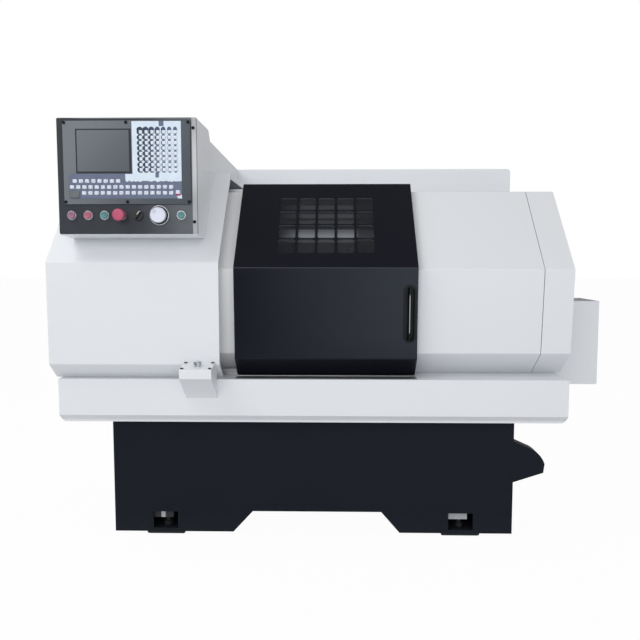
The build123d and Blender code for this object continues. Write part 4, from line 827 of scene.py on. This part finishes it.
# Studio: a pale floor and a white surround. Gloss reflects a floor that is dim near the machine and
# brightens to the right, and a dim ceiling.

half_floor = 30
fan_centre, fan_left, fan_right = 1.66, -0.15, 0.11
near_glow, far_start, far_end = 0.35, 2.0, 4.0
floor_mesh = bpy.data.meshes.new("floor")
floor_mesh.from_pydata([(-half_floor, -half_floor, 0), (half_floor, -half_floor, 0),
                        (half_floor, half_floor, 0), (-half_floor, half_floor, 0)], [], [(0, 1, 2, 3)])
floor = bpy.data.objects.new("floor", floor_mesh)
bpy.context.scene.collection.objects.link(floor)
ground_coat = Finish("pale_floor", Base_Color=(0.86, 0.86, 0.87), Roughness=0.9, Specular_IOR_Level=0.0)
sight = ground_coat.add("ShaderNodeLightPath", out="Is Camera Ray")
shine = ground_coat.add("ShaderNodeLightPath", out="Is Glossy Ray")
in_front = 0 - axis(ground_coat, "Y")
aside = ground_coat.add("ShaderNodeMapRange", {},
                        {"Value": axis(ground_coat, "X") / (in_front + fan_centre),
                         "From Min": fan_left, "From Max": fan_right, "To Min": 0.05, "To Max": 1.28})
far = fade(ground_coat, in_front, far_start, far_end)
mirrored = near_glow * (1 - far) + far * aside
glow_tint = colour_mix(ground_coat, shine, (1.0, 1.0, 1.0), (0.86, 1.0, 1.12))
glow = ground_coat.add("ShaderNodeEmission", {}, {"Color": glow_tint, "Strength": sight + shine * mirrored})
plain = Value(ground_coat, ground_coat.coat.outputs[0])
mixed = ground_coat.add("ShaderNodeMixShader", {}, {0: 0.97 * (sight + shine), 1: plain, 2: glow})
ground_coat.feed(ground_coat.end.inputs[0], mixed)
floor_mesh.materials.append(ground_coat.material)


class Surround(Finish):
    """The world's nodes, with the same helpers as a material."""

    def __init__(self, tree):
        self.nodes = tree.nodes
        self.links = tree.links
        self.nodes.clear()


world = bpy.data.worlds.new("surround")
bpy.context.scene.world = world
world.use_nodes = True
sky = Surround(world.node_tree)
heading = sky.add("ShaderNodeTexCoord", out="Generated")
rise = sky.add("ShaderNodeSeparateXYZ", {}, {"Vector": heading}, out=2)
direct = sky.add("ShaderNodeMapRange", {},
                 {"Value": rise, "From Min": 0.15, "From Max": 0.85, "To Min": 0.86, "To Max": 0.44})
glossy = sky.add("ShaderNodeMapRange", {},
                 {"Value": rise, "From Min": 0.10, "From Max": 0.60, "To Min": 0.60, "To Max": 0.17})
is_camera, is_through, is_glossy = [sky.add("ShaderNodeLightPath", out=f"Is {ray} Ray")
                                    for ray in ("Camera", "Transmission", "Glossy")]
clear = sky.add("ShaderNodeMath", {"operation": "MAXIMUM"}, {0: is_camera, 1: is_through})
dim = direct * (1 - is_glossy) + glossy * is_glossy
strength = clear + dim * (1 - clear)
backdrop = sky.add("ShaderNodeBackground", {}, {"Color": (1.0, 1.0, 1.0), "Strength": strength})
sky.feed(sky.nodes.new("ShaderNodeOutputWorld").inputs[0], backdrop)


def softbox(name, place, target, width, height, power):
    """A rectangular soft light at a place, facing a target."""
    lamp = bpy.data.lights.new(name, "AREA")
    lamp.shape = "RECTANGLE"
    lamp.size, lamp.size_y, lamp.energy = width, height, power
    holder = bpy.data.objects.new(name, lamp)
    bpy.context.scene.collection.objects.link(holder)
    aim = np.array(target) - np.array(place)
    holder.location = place
    holder.rotation_euler = (math.atan2(math.hypot(aim[0], aim[1]), -aim[2]), 0, math.atan2(-aim[0], aim[1]))
    return holder


softbox("key_light", (-0.5, -4.8, 2.3), (0.0, 0.0, 0.8), 3.0, 2.0, 38.0)
softbox("left_light", (-2.4, -1.7, 4.0), (-0.5, -0.2, 1.1), 2.0, 2.0, 44.0)
low_light = softbox("low_light", (0.2, -4.4, 0.5), (0.0, 0.0, 0.7), 3.0, 0.8, 9.0)
low_light.visible_glossy = False

eye = (-0.0084, -2.8188, 0.9975)
look_down, look_left = 0.0897, 0.0207
focal_pixels, photo_pixels = 707.9, 640
camera = bpy.data.cameras.new("camera")
camera.sensor_width = 36.0
camera.lens = focal_pixels / photo_pixels * camera.sensor_width
viewer = bpy.data.objects.new("camera", camera)
bpy.context.scene.collection.objects.link(viewer)
viewer.location = eye
viewer.rotation_euler = (math.pi / 2 - look_down, 0.0, look_left)
bpy.context.scene.camera = viewer
bpy.context.scene.view_settings.view_transform = "Standard"
